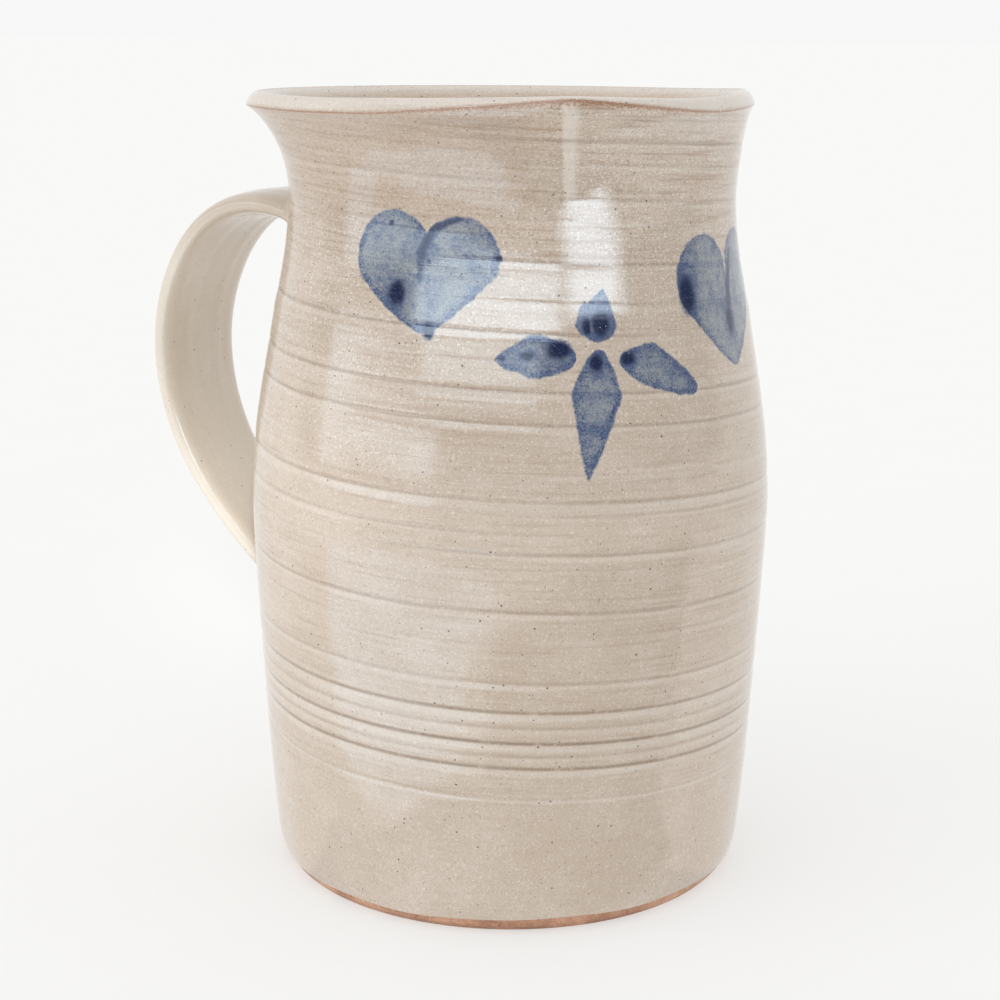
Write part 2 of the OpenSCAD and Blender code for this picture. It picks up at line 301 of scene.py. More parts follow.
class WallShape:
    """The wall's profile: the radius of its outside by height, and the matching points of its inside."""

    # Points on each curve of the profile, and how far up and down its slope is measured
    STEPS = 48
    SLOPE_REACH = 0.5 * MM

    def __init__(self, wall):
        self.wall = wall
        self.arris_z = wall.height - wall.lip_t * math.sin(wall.flare_lean)
        self.neck_z = wall.height - wall.neck_drop
        lean, flare = wall.foot_lean, wall.flare_lean
        diameters = (wall.foot_d, wall.base_d, wall.belly_d, wall.neck_d, wall.rim_d)
        foot, base, belly, neck, rim = (d / 2 for d in diameters)
        foot_curve = (
            (foot, 0),
            (mix(foot, base, 0.7), 0.25 * wall.foot_round),
            (base - 0.3 * wall.foot_round * math.tan(lean), 0.7 * wall.foot_round),
            (base, wall.foot_round),
        )
        lower_curve = (
            (base, wall.foot_round),
            (base + wall.lean_hold * math.sin(lean), wall.foot_round + wall.lean_hold * math.cos(lean)),
            (belly, wall.belly_z - wall.belly_hold_low),
            (belly, wall.belly_z),
        )
        shoulder_curve = (
            (belly, wall.belly_z),
            (belly, wall.belly_z + wall.belly_hold_high),
            (neck, self.neck_z - wall.neck_hold_low),
            (neck, self.neck_z),
        )
        flare_curve = (
            (neck, self.neck_z),
            (neck, self.neck_z + wall.neck_hold_high),
            (rim - wall.flare_hold * math.sin(flare), self.arris_z - wall.flare_hold * math.cos(flare)),
            (rim, self.arris_z),
        )
        line = [Vector(foot_curve[0])]
        for curve in (foot_curve, lower_curve, shoulder_curve, flare_curve):
            line += curve_points(curve, self.STEPS)
        self.radii = [p[0] for p in line]
        self.heights = [p[1] for p in line]

    def radius(self, z):
        """The outside radius at a height."""
        i = min(max(bisect.bisect(self.heights, z), 1), len(self.heights) - 1)
        low, high = self.heights[i - 1], self.heights[i]
        return mix(self.radii[i - 1], self.radii[i], min(max((z - low) / (high - low), 0), 1))

    def inside(self, z):
        """The point of the inside, one wall thickness in and square to the outside at this height."""
        top = min(z + self.SLOPE_REACH, self.arris_z)
        low = z - self.SLOPE_REACH
        way = Vector((-1, (self.radius(top) - self.radius(low)) / (top - low))).normalized()
        thickness = mix(self.wall.wall_t, self.wall.lip_t, z / self.arris_z)
        return Vector((self.radius(z), z)) + thickness * way


class Row:
    """One row of the turned wall. The point is its radius and height, and the run is the height of the
    outside that it goes with. The rest are shares: how far it follows the glaze's wavy edge, whether it lies
    outside, and how close it is to the lip's outer edge."""

    def __init__(self, point, run=0.0, edge=0.0, outside=0.0, arris=0.0):
        self.point = Vector(point)
        self.run = run
        self.edge = edge
        self.outside = outside
        self.arris = arris


# How many steps of rows go over the lip, down the inside and round the floor's corner
LIP_STEPS = 14
INSIDE_STEPS = 72
CORNER_STEPS = 10


def wall_rows(wall, shape):
    """The rows of the wall, from the middle underneath, up the outside, over the lip and down the inside."""
    edge_z, skin = wall.glaze_edge, wall.glaze_t
    edge_r = shape.radius(edge_z)
    rows = [
        Row((0, edge_z)),
        Row((0.5 * edge_r, edge_z)),
        Row((edge_r - 4 * skin, edge_z), edge=1),
        Row((edge_r - skin, edge_z - 0.1 * skin), edge=1),
        Row((edge_r - 0.4 * skin, edge_z + 0.1 * skin), edge=1),
        Row((shape.radius(edge_z + skin) - 0.1 * skin, edge_z + 0.6 * skin), edge=1),
    ]
    first = edge_z + 1.5 * skin
    count = round((shape.arris_z - first) / wall.row_step)
    for i in range(count):
        z = mix(first, shape.arris_z, i / count)
        waving = max(0.0, 1 - (z - first) / wall.foot_round)
        rows.append(Row((shape.radius(z), z), z, edge=waving, outside=1))
    arris = Vector((shape.radius(shape.arris_z), shape.arris_z))
    inner = shape.inside(shape.arris_z)
    way = Vector((math.sin(wall.flare_lean), math.cos(wall.flare_lean)))
    for i in range(LIP_STEPS + 1):
        t = (1 - math.cos(math.pi * i / LIP_STEPS)) / 2
        point = arris.lerp(inner, t) + (4 * t * (1 - t)) ** 0.75 * wall.lip_crown * way
        rows.append(Row(point, shape.arris_z, arris=1 - t))
    corner_z = wall.floor_t + wall.floor_round
    for i in range(1, INSIDE_STEPS):
        z = mix(shape.arris_z, corner_z, i / INSIDE_STEPS)
        rows.append(Row(shape.inside(z), z))
    corner_r = shape.inside(corner_z)[0]
    floor_curve = (
        (corner_r, corner_z),
        (corner_r - 0.2 * MM, wall.floor_t + 0.4 * wall.floor_round),
        (corner_r - 0.5 * wall.floor_round, wall.floor_t),
        (corner_r - wall.floor_round, wall.floor_t),
    )
    rows.append(Row(floor_curve[0]))
    rows += [Row(p) for p in curve_points(floor_curve, CORNER_STEPS)]
    rows += [Row((t * (corner_r - wall.floor_round), wall.floor_t)) for t in (0.75, 0.5, 0.25, 0.0)]
    return rows


def row_mesh(name, rows):
    """The rows as a line of points, with what moves them kept as attributes."""
    mesh = bpy.data.meshes.new(name)
    points = [(row.point[0], 0, row.point[1]) for row in rows]
    mesh.from_pydata(points, [(i, i + 1) for i in range(len(rows) - 1)], [])
    runs = [0.0]
    for a, b in zip(rows, rows[1:]):
        runs.append(runs[-1] + (b.point - a.point).length)
    arris_run = next(run for row, run in zip(rows, runs) if row.arris == 1)
    values = {
        "wall_run": [row.run for row in rows],
        "glaze_edge": [row.edge for row in rows],
        "outside": [row.outside for row in rows],
        "arris_share": [row.arris for row in rows],
        "map_run": [run / runs[-1] for run in runs],
        "past_arris": [(run - arris_run) / MM for run in runs],
    }
    for key, numbers in values.items():
        mesh.attributes.new(key, "FLOAT", "POINT").data.foreach_set("value", numbers)
    return mesh


class Signal:
    """One socket of a node tree. The usual operators add Math nodes, and node() adds any other."""

    def __init__(self, tree, socket=None):
        self.tree = tree
        self.socket = socket

    def node(self, kind, settings=(), inputs=(), output=0):
        """Adds a node, sets it up, feeds its sockets with values or signals, and returns an output."""
        made = self.tree.nodes.new(kind)
        for key, value in dict(settings).items():
            setattr(made, key, value)
        for key, value in dict(inputs).items():
            if isinstance(value, Signal):
                self.tree.links.new(value.socket, made.inputs[key])
            else:
                made.inputs[key].default_value = value
        return Signal(self.tree, made.outputs[output] if made.outputs else None)

    def sibling(self, output):
        """Another output of the node that this signal comes from."""
        return Signal(self.tree, self.socket.node.outputs[output])

    def maths(self, operation, *others):
        """A Math node with this signal as its first value."""
        return self.node("ShaderNodeMath", {"operation": operation}, dict(enumerate((self, *others))))

    def after(self, operation, first):
        """A Math node with this signal as its second value."""
        return self.node("ShaderNodeMath", {"operation": operation}, {0: first, 1: self})

    def __add__(self, other):
        return self.maths("ADD", other)

    __radd__ = __add__

    def __sub__(self, other):
        return self.maths("SUBTRACT", other)

    def __rsub__(self, other):
        return self.after("SUBTRACT", other)

    def __mul__(self, other):
        return self.maths("MULTIPLY", other)

    __rmul__ = __mul__

    def __truediv__(self, other):
        return self.maths("DIVIDE", other)

    def __rtruediv__(self, other):
        return self.after("DIVIDE", other)

    def __pow__(self, power):
        return self.maths("POWER", power)

    def __rpow__(self, base):
        return self.after("POWER", base)

    def sine(self):
        return self.maths("SINE")

    def cosine(self):
        return self.maths("COSINE")

    def root(self):
        return self.maths("SQRT")

    def size(self):
        return self.maths("ABSOLUTE")

    def least(self, other):
        return self.maths("MINIMUM", other)

    def most(self, other):
        return self.maths("MAXIMUM", other)

    def clamp(self):
        return self.node("ShaderNodeClamp", (), {"Value": self})

    def smooth(self, low, high):
        """Rises softly from 0 at low to 1 at high, or falls where low is the larger."""
        return self.node(
            "ShaderNodeMapRange",
            {"interpolation_type": "SMOOTHSTEP"},
            {"Value": self, "From Min": low, "From Max": high},
        )

    def tint(self, low, high):
        """A colour between two, by this signal. Each is a signal or a colour setting."""
        low, high = (c if isinstance(c, Signal) else tone_of(c) for c in (low, high))
        return self.node("ShaderNodeMix", {"data_type": "RGBA"}, {0: self, 6: low, 7: high}, output=2)


def tone_of(c):
    """A colour setting as a socket takes it."""
    return (c[0], c[1], c[2], 1.0)


def vector(x, y, z):
    """Three signals as a vector."""
    first = next(v for v in (x, y, z) if isinstance(v, Signal))
    return first.node("ShaderNodeCombineXYZ", (), {0: x, 1: y, 2: z})


def parts_of(v):
    """A vector's three signals."""
    x = v.node("ShaderNodeSeparateXYZ", (), {0: v})
    return x, x.sibling(1), x.sibling(2)


def swell(x):
    """A smooth bump of height 1 over x from -1 to 1."""
    return (x.size().least(1.0) * (math.pi / 2)).cosine() ** 2.0


# Throwing lines, from the lip down: height in the middle of the front and width of the hollow under the line,
# in millimetres, the hollow's depth and the line's brown, partly painted shade, as shares, and the turns
# where the line fades out
THROWING_LINES = (
    (191.6, 1.6, 0.10, 0.55, -8, 160),
    (186.4, 1.8, 0.06, 0.25, 10, 150),
    (181.6, 1.8, 0.09, 0.25, -150, 5),
    (178.2, 1.6, 0.07, 0.30, 5, 120),
    (173.2, 1.2, 0.05, 0.10, -40, 60),
    (169.0, 1.0, 0.04, 0.10, -120, 8),
    (163.6, 1.6, 0.09, 0.50, -15, 140),
    (154.6, 2.0, 0.06, 0.25, -5, 90),
    (147.6, 2.0, 0.10, 0.60, -160, 30),
    (141.0, 1.6, 0.04, 0.10, -120, 0),
    (134.6, 2.0, 0.14, 0.55, -165, 150),
    (127.2, 2.2, 0.10, 0.50, -150, 165),
    (116.2, 2.0, 0.08, 0.15, -10, 150),
    (109.6, 3.0, 0.20, 0.45, -165, 90),
    (106.6, 1.4, 0.08, 0.25, 10, 160),
    (102.0, 2.4, 0.12, 0.30, -140, 0),
    (97.2, 1.8, 0.12, 0.40, -25, 165),
    (83.2, 1.8, 0.10, 0.50, -165, 110),
    (77.4, 1.6, 0.05, 0.15, 15, 140),
    (65.8, 2.0, 0.16, 0.30, -160, 165),
    (58.4, 3.0, 0.28, 0.80, -165, 120),
    (54.6, 2.4, 0.14, 0.25, -120, 70),
    (50.6, 2.8, 0.28, 0.95, -165, 165),
    (47.4, 2.2, 0.12, 0.25, -130, 110),
    (44.2, 2.6, 0.26, 0.90, -165, 165),
    (36.4, 1.3, 0.24, 0.12, -165, 165),
)
# How far the lines fall in a full turn, in millimetres, and over how many degrees their ends fade
LINE_FALL = 18.0
LINE_FADE = 30.0
# How far the hollow runs on above its line, how far above it the brown lies and half the brown's width
LINE_LIP = 1.0
BROWN_ABOVE = 0.3
BROWN_HALF = 0.85


def fallen(aside, z):
    """The height that a place has in the middle of the front, if it is carried along the lines' fall."""
    return z + aside * (LINE_FALL / 360)


def line_places(aside, z):
    """For each throwing line, how far above it a point lies and how strong the line still is there.
    The lines fall from left to right, as fingers climb a turning wall, and fade out at their ends."""
    level = fallen(aside, z)
    for height, width, depth, brown, left, right in THROWING_LINES:
        strength = aside.smooth(left - LINE_FADE / 2, left + LINE_FADE / 2)
        strength = strength * aside.smooth(right + LINE_FADE / 2, right - LINE_FADE / 2)
        yield level - height, strength, width, depth, brown


def throwing_hollow(aside, z):
    """Depth of the hollows under the throwing lines, in shares of the line depth."""
    total = 0.0
    for above, strength, width, depth, _ in line_places(aside, z):
        total = above.smooth(-width, 0.0).least(above.smooth(LINE_LIP, 0.0)) * strength * depth + total
    return total


def throwing_marks(aside, z):
    """How much brown shows in the throwing lines and how much pale lies under them: the brown is partly thin
    glaze and partly painted shade of each line's step, the pale partly pooled glaze and partly a painted
    highlight of the slope under the line.
    """
    brown_and_shade_total, pale_and_highlight_total = 0.0, 0.0
    for above, strength, width, depth, brown in line_places(aside, z):
        bare = (above - BROWN_ABOVE).size().smooth(BROWN_HALF, 0.05)
        brown_and_shade_total = (bare * strength * brown).most(brown_and_shade_total)
        pool = above.smooth(-width, -0.4 * width) * above.smooth(0.1, -0.4) * strength
        pale_and_highlight_total = (pool * min(1.0, 0.25 + 2.5 * depth)).most(pale_and_highlight_total)
    return brown_and_shade_total, pale_and_highlight_total


# How closely the columns crowd at the spout, and the powers by which the pull climbs the wall, the pull
# narrows to its sides, and the lip's draw grows above the neck
COLUMN_CROWDING = 0.5
CLIMB_POWER = 1.7
PULL_POWER = 1.4
DRAW_POWER = 2.5
# Waves of the glaze's edge: how many go round, where they start, and their share of its height
EDGE_WAVES = ((3, 1, 0.5), (7, 2, 0.3), (13, 0, 0.2))
# Heights between which the inside lines begin, and the distance under the neck over which they end
INNER_BEGIN = (20 * MM, 40 * MM)
INNER_END = 20 * MM
# Points closer than this are one
WELD = 0.001 * MM


def thrown_wall_tree(settings, shape, rows, material):
    """Geometry nodes that turn the rows into the wall, pull the spout and press in the throwing lines."""
    wall, spout = settings.wall, settings.spout
    tree = bpy.data.node_groups.new("Thrown wall", "GeometryNodeTree")
    tree.interface.new_socket("Rows", in_out="INPUT", socket_type="NodeSocketGeometry")
    values = {}
    for name, kind, value in (
        ("Columns", "NodeSocketInt", wall.columns),
        ("Row count", "NodeSocketInt", len(rows)),
        ("Spout reach", "NodeSocketFloat", spout.reach),
        ("Spout rise", "NodeSocketFloat", spout.rise),
        ("Shoulder swell", "NodeSocketFloat", wall.swell),
        ("Far draw", "NodeSocketFloat", spout.far_draw),
        ("Near draw", "NodeSocketFloat", spout.near_draw),
        ("Line depth", "NodeSocketFloat", wall.line_depth),
        ("Inner line", "NodeSocketFloat", wall.inner_line),
        ("Edge wave", "NodeSocketFloat", wall.edge_wave),
    ):
        values[tree.interface.new_socket(name, in_out="INPUT", socket_type=kind).identifier] = value
    tree.interface.new_socket("Wall", in_out="OUTPUT", socket_type="NodeSocketGeometry")

    start = Signal(tree).node("NodeGroupInput", output="Rows")
    grid = start.node("GeometryNodeMeshGrid", (), {
        "Size X": 1.0,
        "Size Y": 1.0,
        "Vertices X": start.sibling("Columns") + 1,
        "Vertices Y": start.sibling("Row count"),
    })
    last_row = start.sibling("Row count") - 1

    def of_row(value, kind, index):
        inputs = {"Geometry": start, "Value": value, "Index": index}
        return start.node("GeometryNodeSampleIndex", {"data_type": kind}, inputs)

    def named(name, index):
        value = start.node("GeometryNodeInputNamedAttribute", {"data_type": "FLOAT"}, {"Name": name})
        return of_row(value, "FLOAT", index)

    column, row, _ = parts_of(start.node("GeometryNodeInputPosition"))
    index = ((row + 0.5) * last_row).maths("ROUND")
    across, along, _ = parts_of(grid.sibling("UV Map"))
    map_row = (along * last_row).maths("ROUND")
    radius, _, height = parts_of(of_row(start.node("GeometryNodeInputPosition"), "FLOAT_VECTOR", index))
    run = named("wall_run", index)
    outside = named("outside", index)
    past_arris = named("past_arris", map_row)

    # Turn from the spout, where the columns lie closer together, then the spout's pull and the lip's draw
    turn = column * (2 * math.pi)
    turn = turn - turn.sine() * COLUMN_CROWDING
    soft = (turn * turn + spout.soft_tip ** 2).root() - spout.soft_tip
    root_z = wall.height - spout.depth
    climb = ((run - root_z) / (shape.arris_z - root_z)).clamp() ** CLIMB_POWER
    pull = (1 - soft / spout.half).clamp() ** PULL_POWER * climb
    far = swell((turn - spout.far_angle) / spout.far_half)
    near = swell((turn - spout.near_angle) / spout.near_half)
    lip = ((run - shape.neck_z) / (shape.arris_z - shape.neck_z)).clamp() ** DRAW_POWER
    draw = (start.sibling("Far draw") * far + start.sibling("Near draw") * near) * lip
    tip_up = wall.height - shape.arris_z - spout.tip_face
    lift = (start.sibling("Spout rise") + named("arris_share", index) * tip_up) * pull
    lift = lift + (far * spout.far_lift - near * spout.near_dip) * lip

    ridge = 1 - ((run - wall.swell_z) / wall.swell_half).size().least(1.0)
    swelling = ridge ** 2.0 * outside * start.sibling("Shoulder swell")

    # Turn from the middle of the front, between -180 and 180 degrees, by which the throwing lines are placed
    aside = (turn + (spout.turn - math.pi / 2 - settings.finish.front)) * (180 / math.pi)
    aside = ((aside + 540) / 360).maths("FRACT") * 360 - 180
    hollow = throwing_hollow(aside, height / MM) * outside * start.sibling("Line depth")
    coil = (height * (2 * math.pi / wall.inner_lead) + turn).sine() * start.sibling("Inner line")
    coil = coil * (1 - outside) * run.smooth(shape.neck_z, shape.neck_z - INNER_END)
    coil = coil * run.smooth(*INNER_BEGIN)
    wave = 0.0
    for times, shift, share in EDGE_WAVES:
        wave = (turn * times + shift).sine() * share + wave
    wave = wave * named("glaze_edge", index) * start.sibling("Edge wave")

    bearing = turn + (math.pi + spout.turn)
    out = radius + start.sibling("Spout reach") * pull + swelling - draw - hollow + coil
    place = vector(out * bearing.cosine(), out * bearing.sine(), height + lift + wave)
    map_place = vector(across, named("map_run", map_row), 0.0)
    on_points = {"data_type": "FLOAT", "domain": "POINT"}
    on_corners = {"data_type": "FLOAT2", "domain": "CORNER"}
    made = grid
    for kind, chosen, inputs in (
        ("SetPosition", (), {"Position": place}),
        ("StoreNamedAttribute", on_points, {"Name": "past_arris", "Value": past_arris}),
        ("StoreNamedAttribute", on_corners, {"Name": BAKE_MAP, "Value": map_place}),
        ("MergeByDistance", (), {"Distance": WELD}),
        ("SetShadeSmooth", (), {}),
        ("RealizeInstances", (), {}),
        ("SetMaterial", (), {"Material": material}),
    ):
        made = start.node("GeometryNode" + kind, chosen, {"Geometry": made, **inputs})
    start.node("NodeGroupOutput", (), {0: made})
    return tree, values


def face_out(mesh):
    """Turns a closed mesh's faces outward."""
    work = bmesh.new()
    work.from_mesh(mesh)
    if work.calc_volume(signed=True) < 0:
        bmesh.ops.reverse_faces(work, faces=work.faces)
    work.to_mesh(mesh)
    work.free()


def put(name, data):
    """Puts a new object in the scene."""
    thing = bpy.data.objects.new(name, data)
    bpy.context.scene.collection.objects.link(thing)
    return thing


def add_piece(mesh, name, slot, *nodes):
    """Puts a finished mesh in the scene as a piece that stands for the named nodes."""
    piece = put(name, mesh)
    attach(piece, "root")
    if nodes:
        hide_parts(*nodes)


# Layout of a band's UV map: its lowest place and its height, then the middles and the radius of its two caps
BAND_LOW = 0.1
BAND_HEIGHT = 0.8
CAP_ACROSS = 0.05
CAP_HEIGHTS = (0.05, 0.95)
CAP_RADIUS = 0.045


def band_mesh(name, rings, material, loop=False):
    """A smooth closed mesh through rings of points. A loop joins its last ring to its first, and a tube gets
    caps."""
    count, sides = len(rings), len(rings[0])
    points = [p for ring in rings for p in ring]
    steps = count if loop else count - 1
    runs = [0.0]
    for i in range(steps):
        gaps = [(rings[(i + 1) % count][j] - rings[i][j]).length for j in range(0, sides, 4)]
        runs.append(runs[-1] + max(gaps))
    faces = []
    maps = []
    for i in range(steps):
        low, high = (BAND_LOW + BAND_HEIGHT * runs[k] / runs[-1] for k in (i, i + 1))
        for j in range(sides):
            k = (j + 1) % sides
            i_next = (i + 1) % count
            faces.append((i * sides + j, i * sides + k, i_next * sides + k, i_next * sides + j))
            left, right = j / sides, (j + 1) / sides
            maps += [(left, low), (right, low), (right, high), (left, high)]
    if not loop:
        for ring_start, cap_v, order in zip((0, (count - 1) * sides), CAP_HEIGHTS, (-1, 1)):
            ring = points[ring_start:ring_start + sides]
            points.append(sum(ring, Vector((0, 0, 0))) / sides)
            for j in range(sides):
                pair = (j, (j + 1) % sides)[::order]
                faces.append((ring_start + pair[0], ring_start + pair[1], len(points) - 1))
                turns = [2 * math.pi * k / sides for k in (j, j + 1)[::order]]
                for a in turns:
                    maps.append((CAP_ACROSS + CAP_RADIUS * math.cos(a), cap_v + CAP_RADIUS * math.sin(a)))
                maps.append((CAP_ACROSS, cap_v))
    mesh = bpy.data.meshes.new(name)
    mesh.from_pydata(points, [], faces)
    layer = mesh.uv_layers.new(name=BAKE_MAP)
    layer.data.foreach_set("uv", [c for pair in maps for c in pair])
    mesh.polygons.foreach_set("use_smooth", [True] * len(faces))
    mesh.materials.append(material)
    face_out(mesh)
    return mesh


# Places on the strap's middle line at each root, one inside the wall and one clear of it
UPPER_ROOT = (0.0, 0.7)
LOWER_ROOT = (2.0, 1.3)


class StrapShape:
    """The strap's middle line in the plane y = 0, its section, and the places where it meets the wall."""

    # How the grooves of the pulling hand wave across the strap, and where they start
    GROOVE_WAVES = 5 * math.pi
    GROOVE_SHIFT = 0.6
    HALVINGS = 30

    def __init__(self, handle, shape):
        self.handle = handle
        self.shape = shape
        wall = shape.wall
        upper_z = wall.height - handle.upper_root_drop
        lower_z = handle.lower_root_z
        sink = handle.root_sink
        grip_z = (upper_z + lower_z) / 2 + handle.grip_rise
        grip = Vector((wall.belly_d / 2 + handle.finger_gap + handle.strap_t / 2, grip_z))
        upper_way = Vector((math.cos(handle.upper_rise), math.sin(handle.upper_rise)))
        lower_way = Vector((math.cos(handle.lower_slope), math.sin(handle.lower_slope)))
        upper_face = Vector((shape.radius(upper_z), upper_z))
        lower_face = Vector((shape.radius(lower_z), lower_z))
        self.upper = (
            upper_face - sink * Vector((1, math.tan(handle.upper_rise))),
            upper_face + handle.upper_run * upper_way,
            grip + Vector((0, handle.grip_hold_high)),
            grip,
        )
        self.lower = (
            grip,
            grip - Vector((0, handle.grip_hold_low)),
            lower_face + handle.lower_run * lower_way,
            lower_face - sink * Vector((1, math.tan(handle.lower_slope))),
        )

    def middle(self, s):
        """A point of the middle line: s is 0 at the upper root, 1 at the grip and 2 at the lower root."""
        return bezier(self.upper, s) if s <= 1 else bezier(self.lower, s - 1)

    def way(self, s):
        """The way that the middle line runs there."""
        return bezier_way(self.upper, s) if s <= 1 else bezier_way(self.lower, s - 1)

    def width(self, s):
        """The strap's width there."""
        return mix(self.handle.strap_w_top, self.handle.strap_w_low, s / 2)

    def skin(self, s, a, grown=0.0, groove=0.0):
        """A point on the strap's skin, at the angle a round its section. Grooves run along its two faces."""
        power = 2 / self.handle.strap_square
        across_share = signed_power(math.cos(a), power)
        wave = math.cos(self.GROOVE_WAVES * across_share + self.GROOVE_SHIFT)
        press = groove * abs(math.sin(a)) ** 1.5 * (0.5 - 0.5 * wave)
        across = (self.width(s) / 2 + grown) * across_share
        out = (self.handle.strap_t / 2 + grown - press) * signed_power(math.sin(a), power)
        m, w = self.middle(s), self.way(s)
        return Vector((-m[0] + out * w[1], across, m[1] + out * w[0]))

    def clear_of_wall(self, p, depth=0.0):
        """How far a point stands out of the wall less a depth."""
        return math.hypot(p[0], p[1]) - self.shape.radius(p[2]) + depth

    def leaves_wall(self, a, inside, outside, depth=0.0):
        """Where the skin at the angle a comes out of the wall less a depth, found by halving."""
        for _ in range(self.HALVINGS):
            s = (inside + outside) / 2
            if self.clear_of_wall(self.skin(s, a), depth) > 0:
                outside = s
            else:
                inside = s
        return (inside + outside) / 2

    def on_wall(self, p, round_wall=0.0, up=0.0, lift=0.0):
        """A point on the wall, moved round it and up it from the point p."""
        z = p[2] + up
        r = self.shape.radius(z) + lift
        a = math.atan2(p[1], p[0]) + round_wall / r
        return Vector((r * math.cos(a), r * math.sin(a), z))

    def section_way(self, s, a):
        """Which way is outward from the section at the angle a, across the strap and out of its face."""
        power = 2 - 2 / self.handle.strap_square
        across = signed_power(math.cos(a), power) / self.width(s)
        return Vector((across, signed_power(math.sin(a), power) / self.handle.strap_t)).normalized()


# How far the section's angles shift, so that its flat faces get no wider sides than its edges
ANGLE_SHIFT = math.radians(4.3)
# The grooves are full after one part in this many of the strap's length
GROOVE_GROWTH = 6


def section_angles(sides):
    """Angles round the strap's section, evened out."""
    for i in range(sides):
        a = 2 * math.pi * (i + 0.5) / sides
        yield a - ANGLE_SHIFT * math.sin(4 * a)


def strap_rings(strap, handle):
    """The strap's rings, from just under the wall's face at the upper root to the same at the lower root."""
    angles = list(section_angles(handle.sides))
    starts = [strap.leaves_wall(a, *UPPER_ROOT, handle.root_depth) for a in angles]
    ends = [strap.leaves_wall(a, *LOWER_ROOT, handle.root_depth) for a in angles]
    rings = []
    for i in range(handle.rings + 1):
        t = i / handle.rings
        fade = min(1.0, GROOVE_GROWTH * t, GROOVE_GROWTH * (1 - t))
        spots = zip(angles, starts, ends)
        rings.append([strap.skin(mix(s0, s1, t), a, groove=handle.pull_groove * fade) for a, s0, s1 in spots])
    return rings


# Steps up a coil's hollow face, how many times deeper than its edges its back lies, and how far its back goes
# past the corner, as a share of the strap's way out
COIL_STEPS = 12
COIL_BACK = 4
COIL_PAST = 0.02
# The strap's run at a coil is measured over one part in this many of its way out
RUN_PARTS = 100


def coil_rings(strap, handle, inside, outside):
    """The sections of one root coil: up its hollow face, back inside the strap and under the wall's face."""
    rings = []
    shares = [i / COIL_STEPS for i in range(COIL_STEPS + 1)]
    back = -COIL_BACK * handle.coil_bed
    for a in section_angles(2 * handle.sides):
        s = strap.leaves_wall(a, inside, outside)
        way = strap.section_way(s, a)
        up = math.copysign(1, strap.way(s)[0])
        step = (strap.skin(mix(s, outside, 1 / RUN_PARTS), a) - strap.skin(s, a)).length
        climb = handle.coil_climb / step / RUN_PARTS
        corner = strap.on_wall(strap.skin(s, a))
        spread = (-handle.coil_spread * way[0], handle.coil_spread * up * way[1])
        foot = strap.on_wall(corner, *spread, lift=-handle.coil_bed)
        head = strap.skin(mix(s, outside, climb), a, -handle.coil_bed)
        full = corner + handle.coil_full * ((foot - corner) + (head - corner)) / 2
        hollow = [mix(mix(foot, full, t), mix(full, head, t), t) for t in shares]
        under_strap = strap.skin(mix(s, outside, climb / 2), a, back)
        under_both = strap.skin(mix(s, outside, -COIL_PAST), a, back)
        under_wall = strap.on_wall(corner, spread[0] / 2, spread[1] / 2, lift=back)
        rings.append(hollow + [under_strap, under_both, under_wall])
    return rings


# Brush strokes of the hearts, then of the petals: turn from the middle of the front in degrees and height in
# millimetres, of the full end and then of the tip, half width at the full end, and how fast a stroke narrows
HEART_STROKES = (
    (-28.5, 164.2, -18.6, 147.0, 10.4, 0.66),
    (-12.2, 163.9, -18.6, 147.0, 9.8, 0.82),
    (52.5, 156.8, 62.0, 136.0, 11.2, 0.66),
    (72.5, 158.0, 62.0, 136.0, 10.2, 0.82),
)
PETAL_STROKES = (
    (19.3, 150.0, 21.0, 157.2, 4.6, 0.70),
    (17.2, 149.8, 16.2, 154.6, 3.2, 0.80),
    (5.4, 142.6, -3.4, 141.6, 4.9, 0.60),
    (5.4, 142.6, 13.9, 141.9, 4.9, 0.36),
    (31.5, 139.6, 44.4, 132.4, 4.9, 0.45),
    (31.5, 139.6, 24.0, 141.5, 4.9, 0.50),
    (18.4, 133.4, 15.8, 114.2, 5.7, 0.86),
    (18.4, 133.6, 19.2, 143.8, 5.7, 0.55),
)
# Thin dark strokes where one stroke ran over another, in the same way
BRUSH_CREASES = (
    (-21.3, 165.0, -18.3, 171.0, 0.9, 0.20),
    (-18.3, 171.0, -11.0, 173.4, 0.8, 0.50),
    (-21.3, 165.0, -21.2, 158.5, 1.0, 0.60),
    (63.0, 155.0, 67.5, 163.5, 1.0, 0.50),
    (63.0, 155.0, 60.6, 146.0, 1.0, 0.40),
)
# Dots where the loaded brush rested: turn, height, half width and half height
BRUSH_DOTS = (
    (-26.8, 155.8, 2.2, 2.9),
    (-18.4, 147.6, 1.5, 1.9),
    (-19.3, 163.3, 0.7, 0.7),
    (-29.3, 171.7, 0.7, 0.6),
    (-2.9, 164.4, 0.7, 1.0),
    (20.0, 149.5, 2.0, 3.0),
    (16.7, 149.2, 1.0, 2.1),
    (10.3, 144.0, 2.7, 2.2),
    (3.4, 142.8, 1.7, 1.0),
    (-2.0, 142.2, 0.8, 0.6),
    (26.0, 141.4, 1.8, 1.7),
    (18.6, 140.7, 1.5, 2.1),
    (44.6, 154.6, 2.6, 4.4),
    (61.0, 147.0, 1.7, 3.2),
)
# Millimetres in one degree round the shoulder, where the brushwork is
TURN_WIDTH = 1.03
# A gap wider than any on the wall, in millimetres
FAR_OFF = 1000.0
# How far the strokes' edges wander, and how soft a dot's edge is, in millimetres
EDGE_WANDER = 1.3
DOT_SOFT = 0.07
